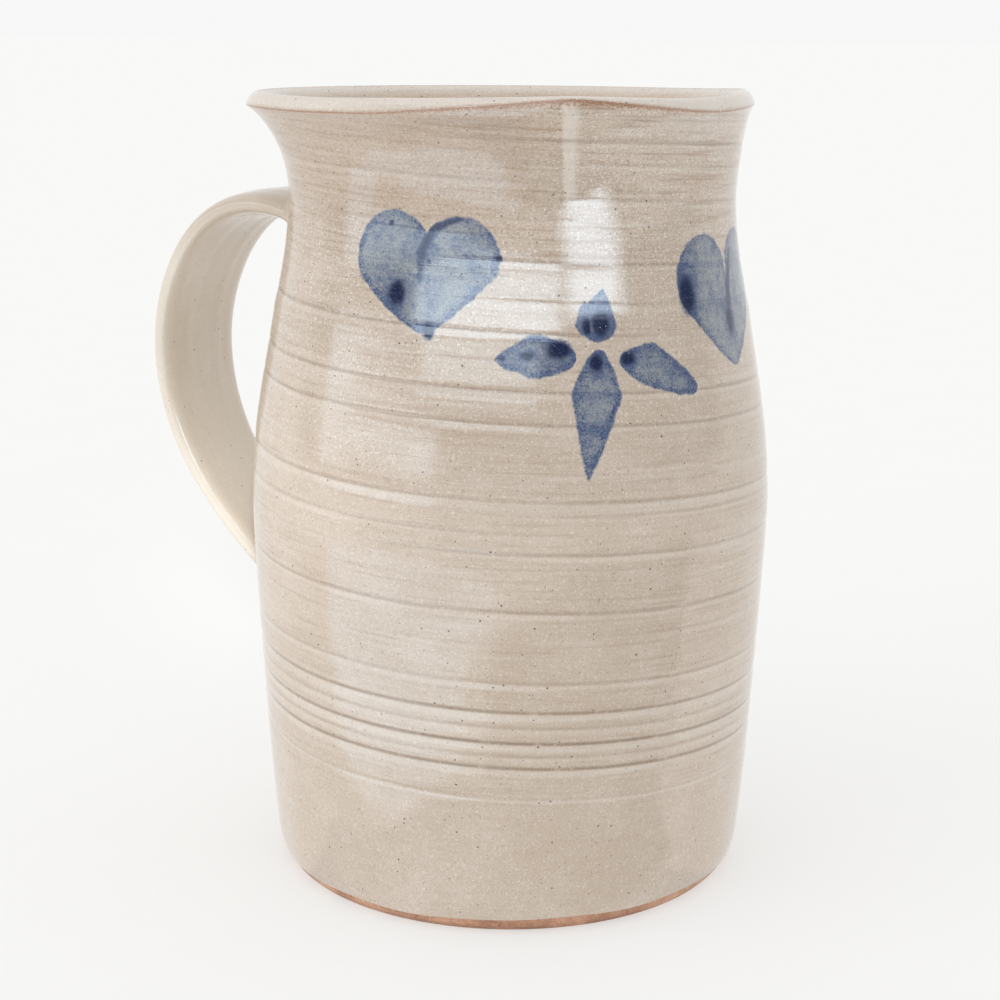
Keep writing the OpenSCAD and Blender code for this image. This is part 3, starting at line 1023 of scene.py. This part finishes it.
# Noises of the brushwork and the finishes: size in millimetres, detail and roughness
WANDER_ROUND = (2.6, 3.0, 0.6)
WANDER_UP = (2.1, 3.0, 0.6)
WASH_CLOUD = (5.5, 4.0, 0.65)
WASH_MOTTLE = (2.2, 3.0, 0.7)
GLAZE_CLOUD = (16.0, 4.0, 0.55)
GLAZE_MOTTLE = (1.9, 3.0, 0.6)
GLAZE_GRAIN = (0.5, 2.0, 0.8)
PALE_GRAIN = (0.6, 2.0, 0.8)
BROWN_GRAIN = (0.7, 2.0, 0.9)
LINE_BREAKS = (4.0, 3.0, 0.7)
CLAY_CLOUD = (7.0, 4.0, 0.6)
CLAY_GRAIN = (0.5, 3.0, 0.7)
FLOOR_CLOUD = (40.0, 3.0, 0.6)
# The same for streaks, whose place is stretched along them first
FINGER_STREAKS = (1.0, 4.0, 0.65)
TURNING_MARKS = (1.0, 2.0, 0.6)
# Dots of the finishes: spacing, and the radius of the smallest and the largest, in millimetres
SPECKS = (2.2, 0.04, 0.25)
FINE_SPECKS = (1.2, 0.04, 0.18)
FLECKS = (2.4, 0.04, 0.15)
CLAY_SPECKS = (1.6, 0.08, 0.3)


def noise(place, size, detail, roughness):
    """Cloudy noise with features of this size."""
    inputs = {"Vector": place, "Scale": 1 / size, "Detail": detail, "Roughness": roughness}
    return place.node("ShaderNodeTexNoise", {"noise_dimensions": "3D"}, inputs)


def span(u, v):
    """How far a place lies from the middle, by its two distances."""
    return (u * u + v * v).root()


def scattered_dots(place, spacing, small, large, chance):
    """Scattered round dots of different sizes, some of which are there by chance."""
    away = place.node("ShaderNodeTexVoronoi", {"feature": "F1"}, {"Vector": place, "Scale": 1 / spacing})
    luck = place.node("ShaderNodeSeparateColor", (), {0: away.sibling("Color")})
    size = luck * (large - small) + small
    there = luck.sibling(1).maths("LESS_THAN", chance)
    return (size - away * spacing).smooth(-DOT_SOFT, DOT_SOFT) * there


def stroke_gap(u, v, start_turn, start_z, tip_turn, tip_z, half, narrowing):
    """How far a place lies outside a brush stroke, in millimetres, less than 0 inside it."""
    du = (tip_turn - start_turn) * TURN_WIDTH
    dv = tip_z - start_z
    square = du * du + dv * dv
    pu = u - start_turn * TURN_WIDTH
    pv = v - start_z
    t = (pu * (du / square) + pv * (dv / square)).clamp()
    return span(pu - t * du, pv - t * dv) - (1 - t) ** narrowing * half


def nearest_gap(u, v, strokes):
    """How far a place lies outside the nearest of some brush strokes."""
    gap = FAR_OFF
    for stroke in strokes:
        gap = stroke_gap(u, v, *stroke).least(gap)
    return gap


def brushwork(place, aside, z, grain):
    """The blue brushwork: where its wash lies, where the wash pools, and where the deep dots are."""
    u = aside * TURN_WIDTH + (noise(place, *WANDER_ROUND) - 0.5) * EDGE_WANDER
    v = z + (noise(place, *WANDER_UP) - 0.5) * EDGE_WANDER
    petals = nearest_gap(u, v, PETAL_STROKES)
    gap = nearest_gap(u, v, HEART_STROKES).least(petals)
    crease = nearest_gap(u, v, BRUSH_CREASES)
    near = FAR_OFF
    for turn, height, wide, tall in BRUSH_DOTS:
        near = span((u - turn * TURN_WIDTH) / wide, (v - height) / tall).least(near)
    deep = (near + (grain - 0.5) * 0.9).smooth(1.35, 0.6)
    wash = gap.smooth(0.35, -0.35).most(deep)
    # The wash pools along its edge, in clouds, in the petals, along the creases and round the dots
    rim = gap.smooth(-2.6, -0.2) * (grain.smooth(0.4, 0.62) * 0.5 + 0.5)
    cloudy = noise(place, *WASH_CLOUD).smooth(0.42, 0.66)
    cloudy = cloudy * 0.5 + noise(place, *WASH_MOTTLE).smooth(0.48, 0.66) * 0.4
    pool = rim * 0.75 + cloudy + petals.smooth(0.5, -0.5) * 0.15 + crease.smooth(0.9, -0.4) * 0.8
    pool = (pool + near.smooth(2.2, 1.0) * 0.5).clamp()
    # Grains of deep blue lie all over the wash, and more of them along its edge
    inked = grain.smooth(0.53, 0.68) * (gap.smooth(-3.2, -0.4) * 0.35 + 0.32)
    deep = (deep * (grain.smooth(0.3, 0.55) * 0.3 + 0.7)).most(crease.smooth(0.7, -0.5) * 0.65).most(inked)
    return wash, pool, deep


def new_finish(name):
    """A new material without nodes, and a signal to start its nodes from."""
    material = bpy.data.materials.new(name)
    material.use_nodes = True
    material.node_tree.nodes.clear()
    return material, Signal(material.node_tree)


def end_finish(start, tone, roughness, height, **constants):
    """Ends a material in its surface. The height is the bump's, in millimetres."""
    normal = start.node("ShaderNodeBump", (), {"Strength": 1.0, "Distance": MM, "Height": height})
    inputs = {"Base Color": tone, "Roughness": roughness, "Normal": normal}
    inputs.update({key.replace("_", " "): value for key, value in constants.items()})
    surface = start.node("ShaderNodeBsdfPrincipled", (), inputs)
    start.node("ShaderNodeOutputMaterial", (), {"Surface": surface})


def millimetres(start):
    """Object coordinates in millimetres."""
    at = start.node("ShaderNodeTexCoord", output="Object")
    return start.node("ShaderNodeVectorMath", {"operation": "SCALE"}, {0: at, "Scale": 1 / MM})


def around(x, y, front):
    """The turn of a place from the middle of the front, in degrees, and how far ahead of the axis it lies."""
    ahead = x * math.sin(front) - y * math.cos(front)
    right = x * math.cos(front) + y * math.sin(front)
    return right.maths("ARCTAN2", ahead) * (180 / math.pi), ahead


# Length and width of the fingers' fine streaks, in millimetres. The foot's turning marks are as wide
STREAK_LENGTH = 24
STREAK_WIDTH = 0.9


def fine_lines(aside, ahead, x, y, z):
    """Fine streaks left by the fingers, which fall from left to right all round the wall."""
    behind = (aside + 360).maths("MODULO", 360.0)
    long_x, long_y = x / STREAK_LENGTH, y / STREAK_LENGTH
    levels = [fallen(turn, z) / STREAK_WIDTH for turn in (aside, behind)]
    front, back = (noise(vector(long_x, long_y, level), *FINGER_STREAKS) for level in levels)
    return back + (front - back) * ahead.smooth(-25.0, 5.0)


# Heights between which the glaze's colour changes, in millimetres: its grain turns coarse, the plain band
# over the foot ends, the neck's stronger streaks begin, the painted shade under the lip begins, and the
# painted highlight down the spout's ridge begins
COARSE_HEIGHTS = (95.0, 165.0)
PLAIN_HEIGHTS = (26.0, 46.0)
NECK_HEIGHTS = (150.0, 176.0)
UNDER_LIP_SHADE_HEIGHTS = (164.0, 180.0)
RIDGE_HIGHLIGHT_HEIGHTS = (174.0, 180.0)
# Turn of the spout's ridge, where its painted highlight runs, in degrees, carried down to the floor along its
# lean, and its lean per millimetre
RIDGE_PLACE = 46.5
RIDGE_LEAN = 0.19
# Heights towards the strap's top, over which painted shade darkens its glaze towards the wall's, and
# distances from the pitcher's axis, over which its glaze turns to the wall's near the roots
STRAP_TOP_SHADE = (148.0, 170.0)
STRAP_ROOTS = (80.0, 66.0)


def thrown_layers(place, axes, grain, tone, height, finish):
    """The glaze's colour and height with what only the thrown wall has."""
    x, y, z = axes
    aside, ahead = around(x, y, finish.front)
    past = place.node("ShaderNodeAttribute", {"attribute_name": "past_arris"}, output="Fac")
    outside = past.smooth(0.5, -0.5)

    # Streaks of the fingers, stronger on the neck, painted shade on the front under the lip's flare, and
    # brown grains, more of them on the neck
    streak = fine_lines(aside, ahead, x, y, z)
    plain_foot = z.smooth(*PLAIN_HEIGHTS) * 0.75 + 0.25
    neck = z.smooth(*NECK_HEIGHTS) * outside
    tone = (streak.smooth(0.52, 0.68) * (plain_foot * 0.28 + neck * 0.3)).tint(tone, finish.glaze_thick)
    tone = (streak.smooth(0.48, 0.34) * (plain_foot * 0.3 + neck * 0.4)).tint(tone, finish.glaze_thin_and_shade)
    # Painted shade: the thin glaze's colour darkens the front of the neck, up to the spout, under the lip's
    # flare
    under_lip_shade = z.smooth(*UNDER_LIP_SHADE_HEIGHTS) * aside.smooth(10.0, 0.0) * ahead.smooth(-20.0, 10.0) * outside
    tone = (under_lip_shade * 0.4).tint(tone, finish.glaze_thin_and_shade)
    brown_grain = noise(place, *BROWN_GRAIN).smooth(0.54, 0.68) * (neck * 0.35 + 0.1)
    tone = brown_grain.tint(tone, finish.crease)

    # A painted highlight: a pale streak down the spout's ridge that stands in for its reflection
    off_ridge = aside + z * RIDGE_LEAN - RIDGE_PLACE
    ridge = off_ridge.smooth(-1.7, -0.9) * off_ridge.smooth(2.4, 0.2) * z.smooth(*RIDGE_HIGHLIGHT_HEIGHTS) * outside
    tone = (ridge * 0.55).tint(tone, finish.fleck_and_highlight)

    # The throwing lines, brown where the glaze is thin and pale where it pools, and also painted shade on
    # each line's step and a painted highlight on the slope under it
    brown, pooled = throwing_marks(aside, z)
    brown = brown * outside * noise(place, *LINE_BREAKS).smooth(0.2, 0.5)
    tone = (pooled * outside * 0.3).tint(tone, finish.fleck_and_highlight)
    tone = (brown * 0.62).tint(tone, finish.crease)
    height = height + streak * 0.02 - brown * 0.05

    # The brushwork, which also pools in the streaks and lines
    wash, pool, deep = brushwork(place, aside, z, grain)
    wash = wash * outside * ahead.smooth(-10.0, 0.0)
    tone = (wash * (grain.smooth(0.35, 0.62) * 0.3 + 0.65)).tint(tone, finish.wash)
    pool = (pool + streak.smooth(0.5, 0.7) * 0.35 + brown * 0.7 + pooled * 0.5).clamp()
    tone = (pool * wash * (grain * 1.2 + 0.3).clamp()).tint(tone, finish.cobalt)
    tone = (deep * wash).tint(tone, finish.cobalt_deep)

    # The inside, the pale glaze on the lip, and the clay that shows on its outer edge
    tone = (past.smooth(5.0, 14.0) * 0.85).tint(tone, finish.inside)
    tone = (past.smooth(0.2, 1.2) * past.smooth(9.0, 5.0) * 0.5).tint(tone, finish.fleck_and_highlight)
    edge = (past + (grain - 0.5) * 1.2).size().smooth(0.4, 0.1)
    tone = (edge * 0.75).tint(tone, finish.lip_clay)
    return tone, height


def glaze_finish(name, finish, thrown):
    """Glossy, speckled glaze. On the thrown wall it has the throwing lines and the blue brushwork."""
    material, start = new_finish(name)
    place = millimetres(start)
    x, y, z = parts_of(place)
    cloud = noise(place, *GLAZE_CLOUD)
    mottle = noise(place, *GLAZE_MOTTLE)
    grain = noise(place, *GLAZE_GRAIN)
    pale, plain = (finish.glaze_thick, finish.glaze) if thrown else (finish.fleck_and_highlight, finish.strap)
    tone = ((cloud * 0.6 + mottle * 0.4).smooth(0.42, 0.66) * 0.35).tint(plain, pale)
    coarse = z.smooth(*COARSE_HEIGHTS) * 0.5 + 0.5 if thrown else 0.2
    pepper = grain.smooth(0.53, 0.7) * coarse
    salt = noise(place, *PALE_GRAIN).smooth(0.54, 0.68) * coarse * 0.9
    tone = pepper.tint(tone, finish.glaze_thin_and_shade)
    tone = salt.tint(tone, finish.fleck_and_highlight)
    height = cloud * 0.05 + mottle * 0.02 + grain * 0.008
    if thrown:
        tone, height = thrown_layers(place, (x, y, z), grain, tone, height, finish)
    else:
        # Painted shade darkens the strap's top towards the wall's glaze, and near the roots its glaze turns
        # to the wall's
        by_wall = span(x, y).smooth(*STRAP_ROOTS)
        tone = (z.smooth(*STRAP_TOP_SHADE) * 0.7).most(by_wall * 0.85).tint(tone, finish.glaze)
    specks = scattered_dots(place, *SPECKS, 0.75 if thrown else 0.3)
    fine_specks = scattered_dots(place, *FINE_SPECKS, 0.55 if thrown else 0.2)
    tone = (specks * 0.85).most(fine_specks * 0.5).tint(tone, finish.speck)
    flecks = scattered_dots(place, *FLECKS, 0.5)
    tone = (flecks * 0.5).tint(tone, finish.fleck_and_highlight)
    end_finish(start, tone, grain * 0.06 + 0.07, height - specks * 0.03, IOR=1.6)
    return material


def clay_finish(name, finish):
    """Bare fired clay with darker grains and fine turning marks."""
    material, start = new_finish(name)
    place = millimetres(start)
    x, y, z = parts_of(place)
    cloud = noise(place, *CLAY_CLOUD)
    grain = noise(place, *CLAY_GRAIN)
    turning = noise(vector(span(x, y) / STREAK_WIDTH, 0.0, z / STREAK_WIDTH), *TURNING_MARKS)
    tone = (cloud * 0.5 + grain * 0.5).smooth(0.35, 0.65).tint(finish.clay_dark, finish.clay)
    tone = (scattered_dots(place, *CLAY_SPECKS, 0.6) * 0.6).tint(tone, finish.speck)
    end_finish(start, tone, grain * 0.2 + 0.7, grain * 0.08 + turning * 0.1)
    return material


def strap_and_glaze(settings):
    """The strap's shape, and the glaze that it shares with its fillets, which is made once."""
    material = bpy.data.materials.get("strap_glaze") or glaze_finish("strap_glaze", settings.finish, False)
    return StrapShape(settings.handle, WallShape(settings.wall)), material


class PITCHER_OT_glazed_body(bpy.types.Operator):
    """Throw the glazed wall, with its flared lip, pulled spout and throwing lines"""

    bl_idname = "pitcher.glazed_body"
    bl_label = "Glazed Body"

    def execute(self, context):
        settings = context.scene.pitcher
        shape = WallShape(settings.wall)
        rows = wall_rows(settings.wall, shape)
        material = glaze_finish("thrown_glaze", settings.finish, True)
        blank = put("wall_rows", row_mesh("wall_rows", rows))
        modifier = blank.modifiers.new("Thrown wall", "NODES")
        modifier.node_group, values = thrown_wall_tree(settings, shape, rows, material)
        for identifier, value in values.items():
            modifier[identifier] = value
        ready = blank.evaluated_get(context.evaluated_depsgraph_get())
        mesh = bpy.data.meshes.new_from_object(ready)
        blank.modifiers.remove(modifier)
        bpy.data.objects.remove(blank)
        if len(mesh.polygons) < len(rows):
            raise RuntimeError("the thrown wall has no faces")
        mesh.name = "glazed_body"
        face_out(mesh)
        add_piece(mesh, "glazed_body", "speckled_glaze", "thrown_body")
        return {"FINISHED"}


# How far the bare foot's top lies under the end of the rounding, and its rings and sides
FOOT_DROP = 0.4 * MM
FOOT_RINGS = 16
FOOT_SIDES = 160


class PITCHER_OT_bare_foot(bpy.types.Operator):
    """Add the bare clay that shows below the glaze and underneath"""

    bl_idname = "pitcher.bare_foot"
    bl_label = "Bare Foot"

    def execute(self, context):
        settings = context.scene.pitcher
        wall = settings.wall
        shape = WallShape(wall)
        top = wall.foot_round - FOOT_DROP
        foot = wall.foot_d / 2
        heights = [top * (i / FOOT_RINGS) ** 1.5 for i in range(FOOT_RINGS + 1)]
        profile = [(t * foot, 0) for t in (0.04, 0.25, 0.5, 0.75, 0.92)]
        profile += [(shape.radius(z) - wall.glaze_t, z) for z in heights]
        profile += [(t * foot, top) for t in (0.9, 0.5, 0.04)]
        turns = [2 * math.pi * j / FOOT_SIDES for j in range(FOOT_SIDES)]
        rings = [[Vector((r * math.cos(a), r * math.sin(a), z)) for a in turns] for r, z in profile]
        material = clay_finish("foot_clay", settings.finish)
        add_piece(band_mesh("bare_foot", rings, material), "bare_foot", "bare_clay")
        return {"FINISHED"}


class PITCHER_OT_pulled_strap(bpy.types.Operator):
    """Pull the strap handle between its two roots"""

    bl_idname = "pitcher.pulled_strap"
    bl_label = "Pulled Strap"

    def execute(self, context):
        settings = context.scene.pitcher
        strap, material = strap_and_glaze(settings)
        mesh = band_mesh("pulled_strap", strap_rings(strap, settings.handle), material)
        add_piece(mesh, "pulled_strap", "speckled_glaze", "pulled_handle")
        return {"FINISHED"}


class PITCHER_OT_root_fillets(bpy.types.Operator):
    """Work a coil of clay into the corner round each root of the strap"""

    bl_idname = "pitcher.root_fillets"
    bl_label = "Root Fillets"

    def execute(self, context):
        settings = context.scene.pitcher
        strap, material = strap_and_glaze(settings)
        for name, node, root in (
            ("upper_root_fillet", "upper_root_coil", UPPER_ROOT),
            ("lower_root_fillet", "lower_root_coil", LOWER_ROOT),
        ):
            rings = coil_rings(strap, settings.handle, *root)
            add_piece(band_mesh(name, rings, material, loop=True), name, "speckled_glaze", node)
        return {"FINISHED"}


def stage_object(name, points, faces, material):
    """Adds a mesh that belongs to the stage."""
    mesh = bpy.data.meshes.new(name)
    mesh.from_pydata(points, [], faces)
    mesh.materials.append(material)
    thing = put(name, mesh)
    thing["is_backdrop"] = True
    return thing


def glow(name, tint, brightness):
    """A material that only shines, and turns clear where the mesh's fade is 0."""
    material, start = new_finish(name)
    shine = start.node("ShaderNodeEmission", (), {"Color": tone_of(tint), "Strength": brightness})
    clear = start.node("ShaderNodeBsdfTransparent")
    fade = start.node("ShaderNodeAttribute", {"attribute_name": "fade"}, output="Fac")
    surface = start.node("ShaderNodeMixShader", (), {0: fade.smooth(0.0, 1.0), 1: clear, 2: shine})
    start.node("ShaderNodeOutputMaterial", (), {"Surface": surface})
    return material


def reflected(name, stage, points, faces, fades, brightness):
    """A bright thing in the room that only shows as a reflection in the glaze."""
    thing = stage_object(name, points, faces, glow(name, stage.daylight, brightness))
    thing.data.attributes.new("fade", "FLOAT", "POINT").data.foreach_set("value", fades)
    thing.visible_camera = False
    thing.visible_diffuse = False
    thing.visible_shadow = False


# The height that the windows' rises are counted from, in metres, and the steps along a window
WINDOW_LEVEL = 0.14
WINDOW_STEPS = 24


def window_strip(name, stage, left, right, low, high, brightness, away=1.6, soft=(3.0, 0.7)):
    """A curved bright window between two turns from the camera and two heights over the horizon, in degrees.
    It fades out over its border, which has these half widths in turn and in height."""
    shares = [i / WINDOW_STEPS for i in range(WINDOW_STEPS + 1)]
    turns = [mix(left + soft[0], right - soft[0], t) for t in shares]
    turns = [left - soft[0], *turns, right + soft[0]]
    rises = (low - soft[1], low + soft[1], high - soft[1], high + soft[1])
    points, fades = [], []
    for turn in turns:
        a = stage.turn + math.radians(turn)
        for rise in rises:
            z = WINDOW_LEVEL + away * math.tan(math.radians(rise))
            points.append((away * math.sin(a), -away * math.cos(a), z))
            fades.append(float(turns[0] < turn < turns[-1] and rises[0] < rise < rises[-1]))
    corners = [4 * i + j for i in range(len(turns) - 1) for j in range(3)]
    faces = [(k, k + 1, k + 5, k + 4) for k in corners]
    reflected(name, stage, points, faces, fades, brightness)


def soft_card(name, stage, corners, brightness, soft):
    """A flat bright card that fades out over its border, which is a share of the way to its middle."""
    count = len(corners)
    middle = sum((Vector(p) for p in corners), Vector((0, 0, 0))) / count
    points = [middle.lerp(Vector(p), share) for share in (1 - soft, 1 + soft) for p in corners]
    pairs = [(i, (i + 1) % count) for i in range(count)]
    faces = [tuple(range(count)), *((i, k, count + k, count + i) for i, k in pairs)]
    reflected(name, stage, points, faces, [1.0] * count + [0.0] * count, brightness)


# Corners of the patches of floor that the glaze reflects, to the camera's right and towards the camera, in
# millimetres: the shaded patch in front of the pitcher, the sunny one on its left, and the one round its
# foot. Their border is a share of the way to the middle
SHADED_PATCH = (
    (20, 57), (75, 50), (105, 68), (480, 78), (300, 420), (60, 275), (0, 265), (-35, 210), (-20, 150),
)
SUNNY_PATCH = ((-130, 62), (-70, 82), (-50, 150), (-60, 210), (-20, 270), (-40, 330), (-420, 300), (-420, 62))
FOOT_PATCH = ((-50, 28), (-88, 41), (-68, 81), (-48, 148), (-22, 149), (18, 57), (60, 50), (50, -10))
PATCH_SOFT = 0.04
# The card that glints on the spout: its two ends in the same way, its lower and upper edge, and its border
GLINT_ENDS = ((23, 77), (41, 64))
GLINT_HEIGHTS = (157.5, 167.0)
GLINT_SOFT = 0.5
# Where the small light on the handle stands, and the place it points at, to the camera's right, towards it
# and up, then the width of its beam, and its radius in metres
FILL_PLACE = (-10, 500, 270)
FILL_AIM = (-79, -40, 78)
FILL_WIDTH = math.radians(7.5)
FILL_RADIUS = 0.03
# Where the light from the sunny floor lies, in the same way, and the side of its square, in metres
BOUNCE_PLACE = (-280, 120, 1)
BOUNCE_SIZE = 0.8
# How broad the soft sun is
SUN_WIDTH = math.radians(60)
# Half the side of the floor, in metres
FLOOR_HALF = 60.0


def from_camera(stage, x, y, z):
    """A place given in millimetres to the camera's right, towards the camera and up."""
    c, s = math.cos(stage.turn), math.sin(stage.turn)
    return (MM * (c * x + s * y), MM * (s * x - c * y), MM * z)


def add_floor(stage):
    """The pale floor, which gives some light of itself."""
    material, start = new_finish("pale_floor")
    faint = noise(millimetres(start), *FLOOR_CLOUD)
    tone = faint.tint([0.97 * c for c in stage.floor], stage.floor)
    glow_of_floor = {"Emission_Color": (1.0, 1.0, 0.99, 1.0), "Emission_Strength": stage.floor_glow}
    end_finish(start, tone, 0.9, faint * 0.02, Specular_IOR_Level=0.0, **glow_of_floor)
    sides = ((-1, -1), (1, -1), (1, 1), (-1, 1))
    corners = [(x * FLOOR_HALF, y * FLOOR_HALF, 0) for x, y in sides]
    stage_object("floor", corners, [(0, 1, 2, 3)], material)


def add_reflections(stage):
    """What the glaze reflects: the room, its windows and left wall, patches of floor, and a small card."""
    window_strip("room", stage, -105, 105, -4, 45, stage.room, away=1.8, soft=(8.0, 1.0))
    window_strip("window", stage, -40, 20, 12.6, 25, stage.window, away=0.2)
    window_strip("low_pane", stage, -35, 10, 5.4, 9.0, 0.6 * stage.window, away=0.2)
    window_strip("left_bar", stage, -78, -64, -8.5, 10, 0.36 * stage.window, away=0.2)
    window_strip("left_wall", stage, -88, -32, -1, 6.5, stage.left_wall)
    for name, corners, z, brightness in (
        ("shaded_patch", SHADED_PATCH, 0.2, stage.shade),
        ("sunny_patch", SUNNY_PATCH, 0.3, stage.sheen),
        ("foot_patch", FOOT_PATCH, 0.4, stage.foot_shade),
    ):
        places = [from_camera(stage, x, y, z) for x, y in corners]
        soft_card(name, stage, places, brightness, PATCH_SOFT)
    glint = [from_camera(stage, x, y, z) for x, y in GLINT_ENDS for z in GLINT_HEIGHTS]
    soft_card("spout_glint", stage, [glint[i] for i in (0, 1, 3, 2)], stage.glint, GLINT_SOFT)


def add_light(name, kind, **settings):
    """Adds a light with these settings."""
    data = bpy.data.lights.new(name, kind)
    for key, value in settings.items():
        setattr(data, key, value)
    return put(name, data)


def add_lights(stage):
    """The light from the sunny floor, the small light on the handle, and the broad soft sun."""
    power = stage.bounce * math.pi * BOUNCE_SIZE ** 2
    bounce = add_light("floor_bounce", "AREA", size=BOUNCE_SIZE, energy=power)
    bounce.location = from_camera(stage, *BOUNCE_PLACE)
    bounce.rotation_euler = (math.pi, 0, 0)
    bounce.visible_camera = False
    bounce.visible_glossy = False
    beam = {"spot_size": FILL_WIDTH, "spot_blend": 1.0, "shadow_soft_size": FILL_RADIUS}
    fill = add_light("handle_fill", "SPOT", energy=stage.fill, **beam)
    fill.location = from_camera(stage, *FILL_PLACE)
    way = Vector(from_camera(stage, *FILL_AIM)) - fill.location
    fill.rotation_euler = way.to_track_quat("-Z", "Y").to_euler()
    fill.visible_glossy = False
    sun = add_light("soft_sun", "SUN", energy=stage.sun, angle=SUN_WIDTH)
    sun.rotation_euler = (math.pi / 2 - stage.sun_rise, 0, stage.turn + stage.sun_turn)


def add_surroundings(scene, stage):
    """The white surroundings, with the picture's colours left as they are."""
    world = bpy.data.worlds.new("white_surroundings")
    world.use_nodes = True
    world.node_tree.nodes.clear()
    sky = Signal(world.node_tree)
    back = sky.node("ShaderNodeBackground", (), {"Color": (1, 1, 1, 1), "Strength": stage.sky})
    sky.node("ShaderNodeOutputWorld", (), {"Surface": back})
    scene.world = world
    scene.view_settings.view_transform = "Standard"


def add_camera(scene, stage):
    """The camera, which looks a little down and aside of the pitcher's axis."""
    camera = bpy.data.cameras.new("camera")
    camera.lens = stage.lens
    camera.sensor_width = 36.0
    camera.clip_start = 0.01
    ahead = Vector((math.sin(stage.turn), -math.cos(stage.turn), 0)) * stage.distance
    rotation = Matrix.Rotation(stage.turn + stage.aside, 4, "Z")
    rotation = rotation @ Matrix.Rotation(math.pi / 2 - stage.pitch, 4, "X")
    rotation = rotation @ Matrix.Rotation(stage.roll, 4, "Z")
    eye = put("camera", camera)
    eye.matrix_world = Matrix.Translation(ahead + Vector((0, 0, stage.height))) @ rotation
    scene.camera = eye


class PITCHER_OT_stage(bpy.types.Operator):
    """Set up the floor, the light and the camera"""

    bl_idname = "pitcher.stage"
    bl_label = "Stage"

    def execute(self, context):
        scene = context.scene
        stage = scene.pitcher.stage
        add_floor(stage)
        add_reflections(stage)
        add_lights(stage)
        add_surroundings(scene, stage)
        add_camera(scene, stage)
        return {"FINISHED"}


class PITCHER_PT_sidebar(bpy.types.Panel):
    """Lists the pitcher's pieces and their main sizes"""

    bl_idname = "PITCHER_PT_sidebar"
    bl_label = "Pitcher"
    bl_space_type = "VIEW_3D"
    bl_region_type = "UI"
    bl_category = "Pitcher"

    def draw(self, context):
        settings = context.scene.pitcher
        for operator in PIECES:
            self.layout.operator(operator.bl_idname)
        for group, names in (
            (settings.wall, ("height", "belly_d", "neck_d", "rim_d", "line_depth")),
            (settings.spout, ("turn", "reach", "rise")),
            (settings.handle, ("finger_gap", "strap_w_top", "strap_w_low", "strap_t")),
            (settings.finish, ("glaze", "wash", "cobalt", "clay")),
            (settings.stage, ("turn", "window", "sky")),
        ):
            box = self.layout.box()
            for name in names:
                box.prop(group, name)


PIECES = (
    PITCHER_OT_glazed_body,
    PITCHER_OT_bare_foot,
    PITCHER_OT_pulled_strap,
    PITCHER_OT_root_fillets,
    PITCHER_OT_stage,
)
CLASSES = (
    PitcherWall,
    PitcherSpout,
    PitcherHandle,
    PitcherFinish,
    PitcherStage,
    PitcherSettings,
    *PIECES,
    PITCHER_PT_sidebar,
)


def register():
    """Adds the classes and the settings."""
    for cls in CLASSES:
        bpy.utils.register_class(cls)
    bpy.types.Scene.pitcher = PointerProperty(type=PitcherSettings)


def unregister():
    """Takes them out again."""
    del bpy.types.Scene.pitcher
    for cls in reversed(CLASSES):
        bpy.utils.unregister_class(cls)


def main():
    """Builds every piece and the stage."""
    register()
    bpy.ops.pitcher.glazed_body()
    bpy.ops.pitcher.bare_foot()
    bpy.ops.pitcher.pulled_strap()
    bpy.ops.pitcher.root_fillets()
    bpy.ops.pitcher.stage()
    boxes = {"cad": CAD_BOX, "visual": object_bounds()}
    {name: [list(corner) for corner in box] for name, box in boxes.items()}


if __name__ == "__main__":
    main()
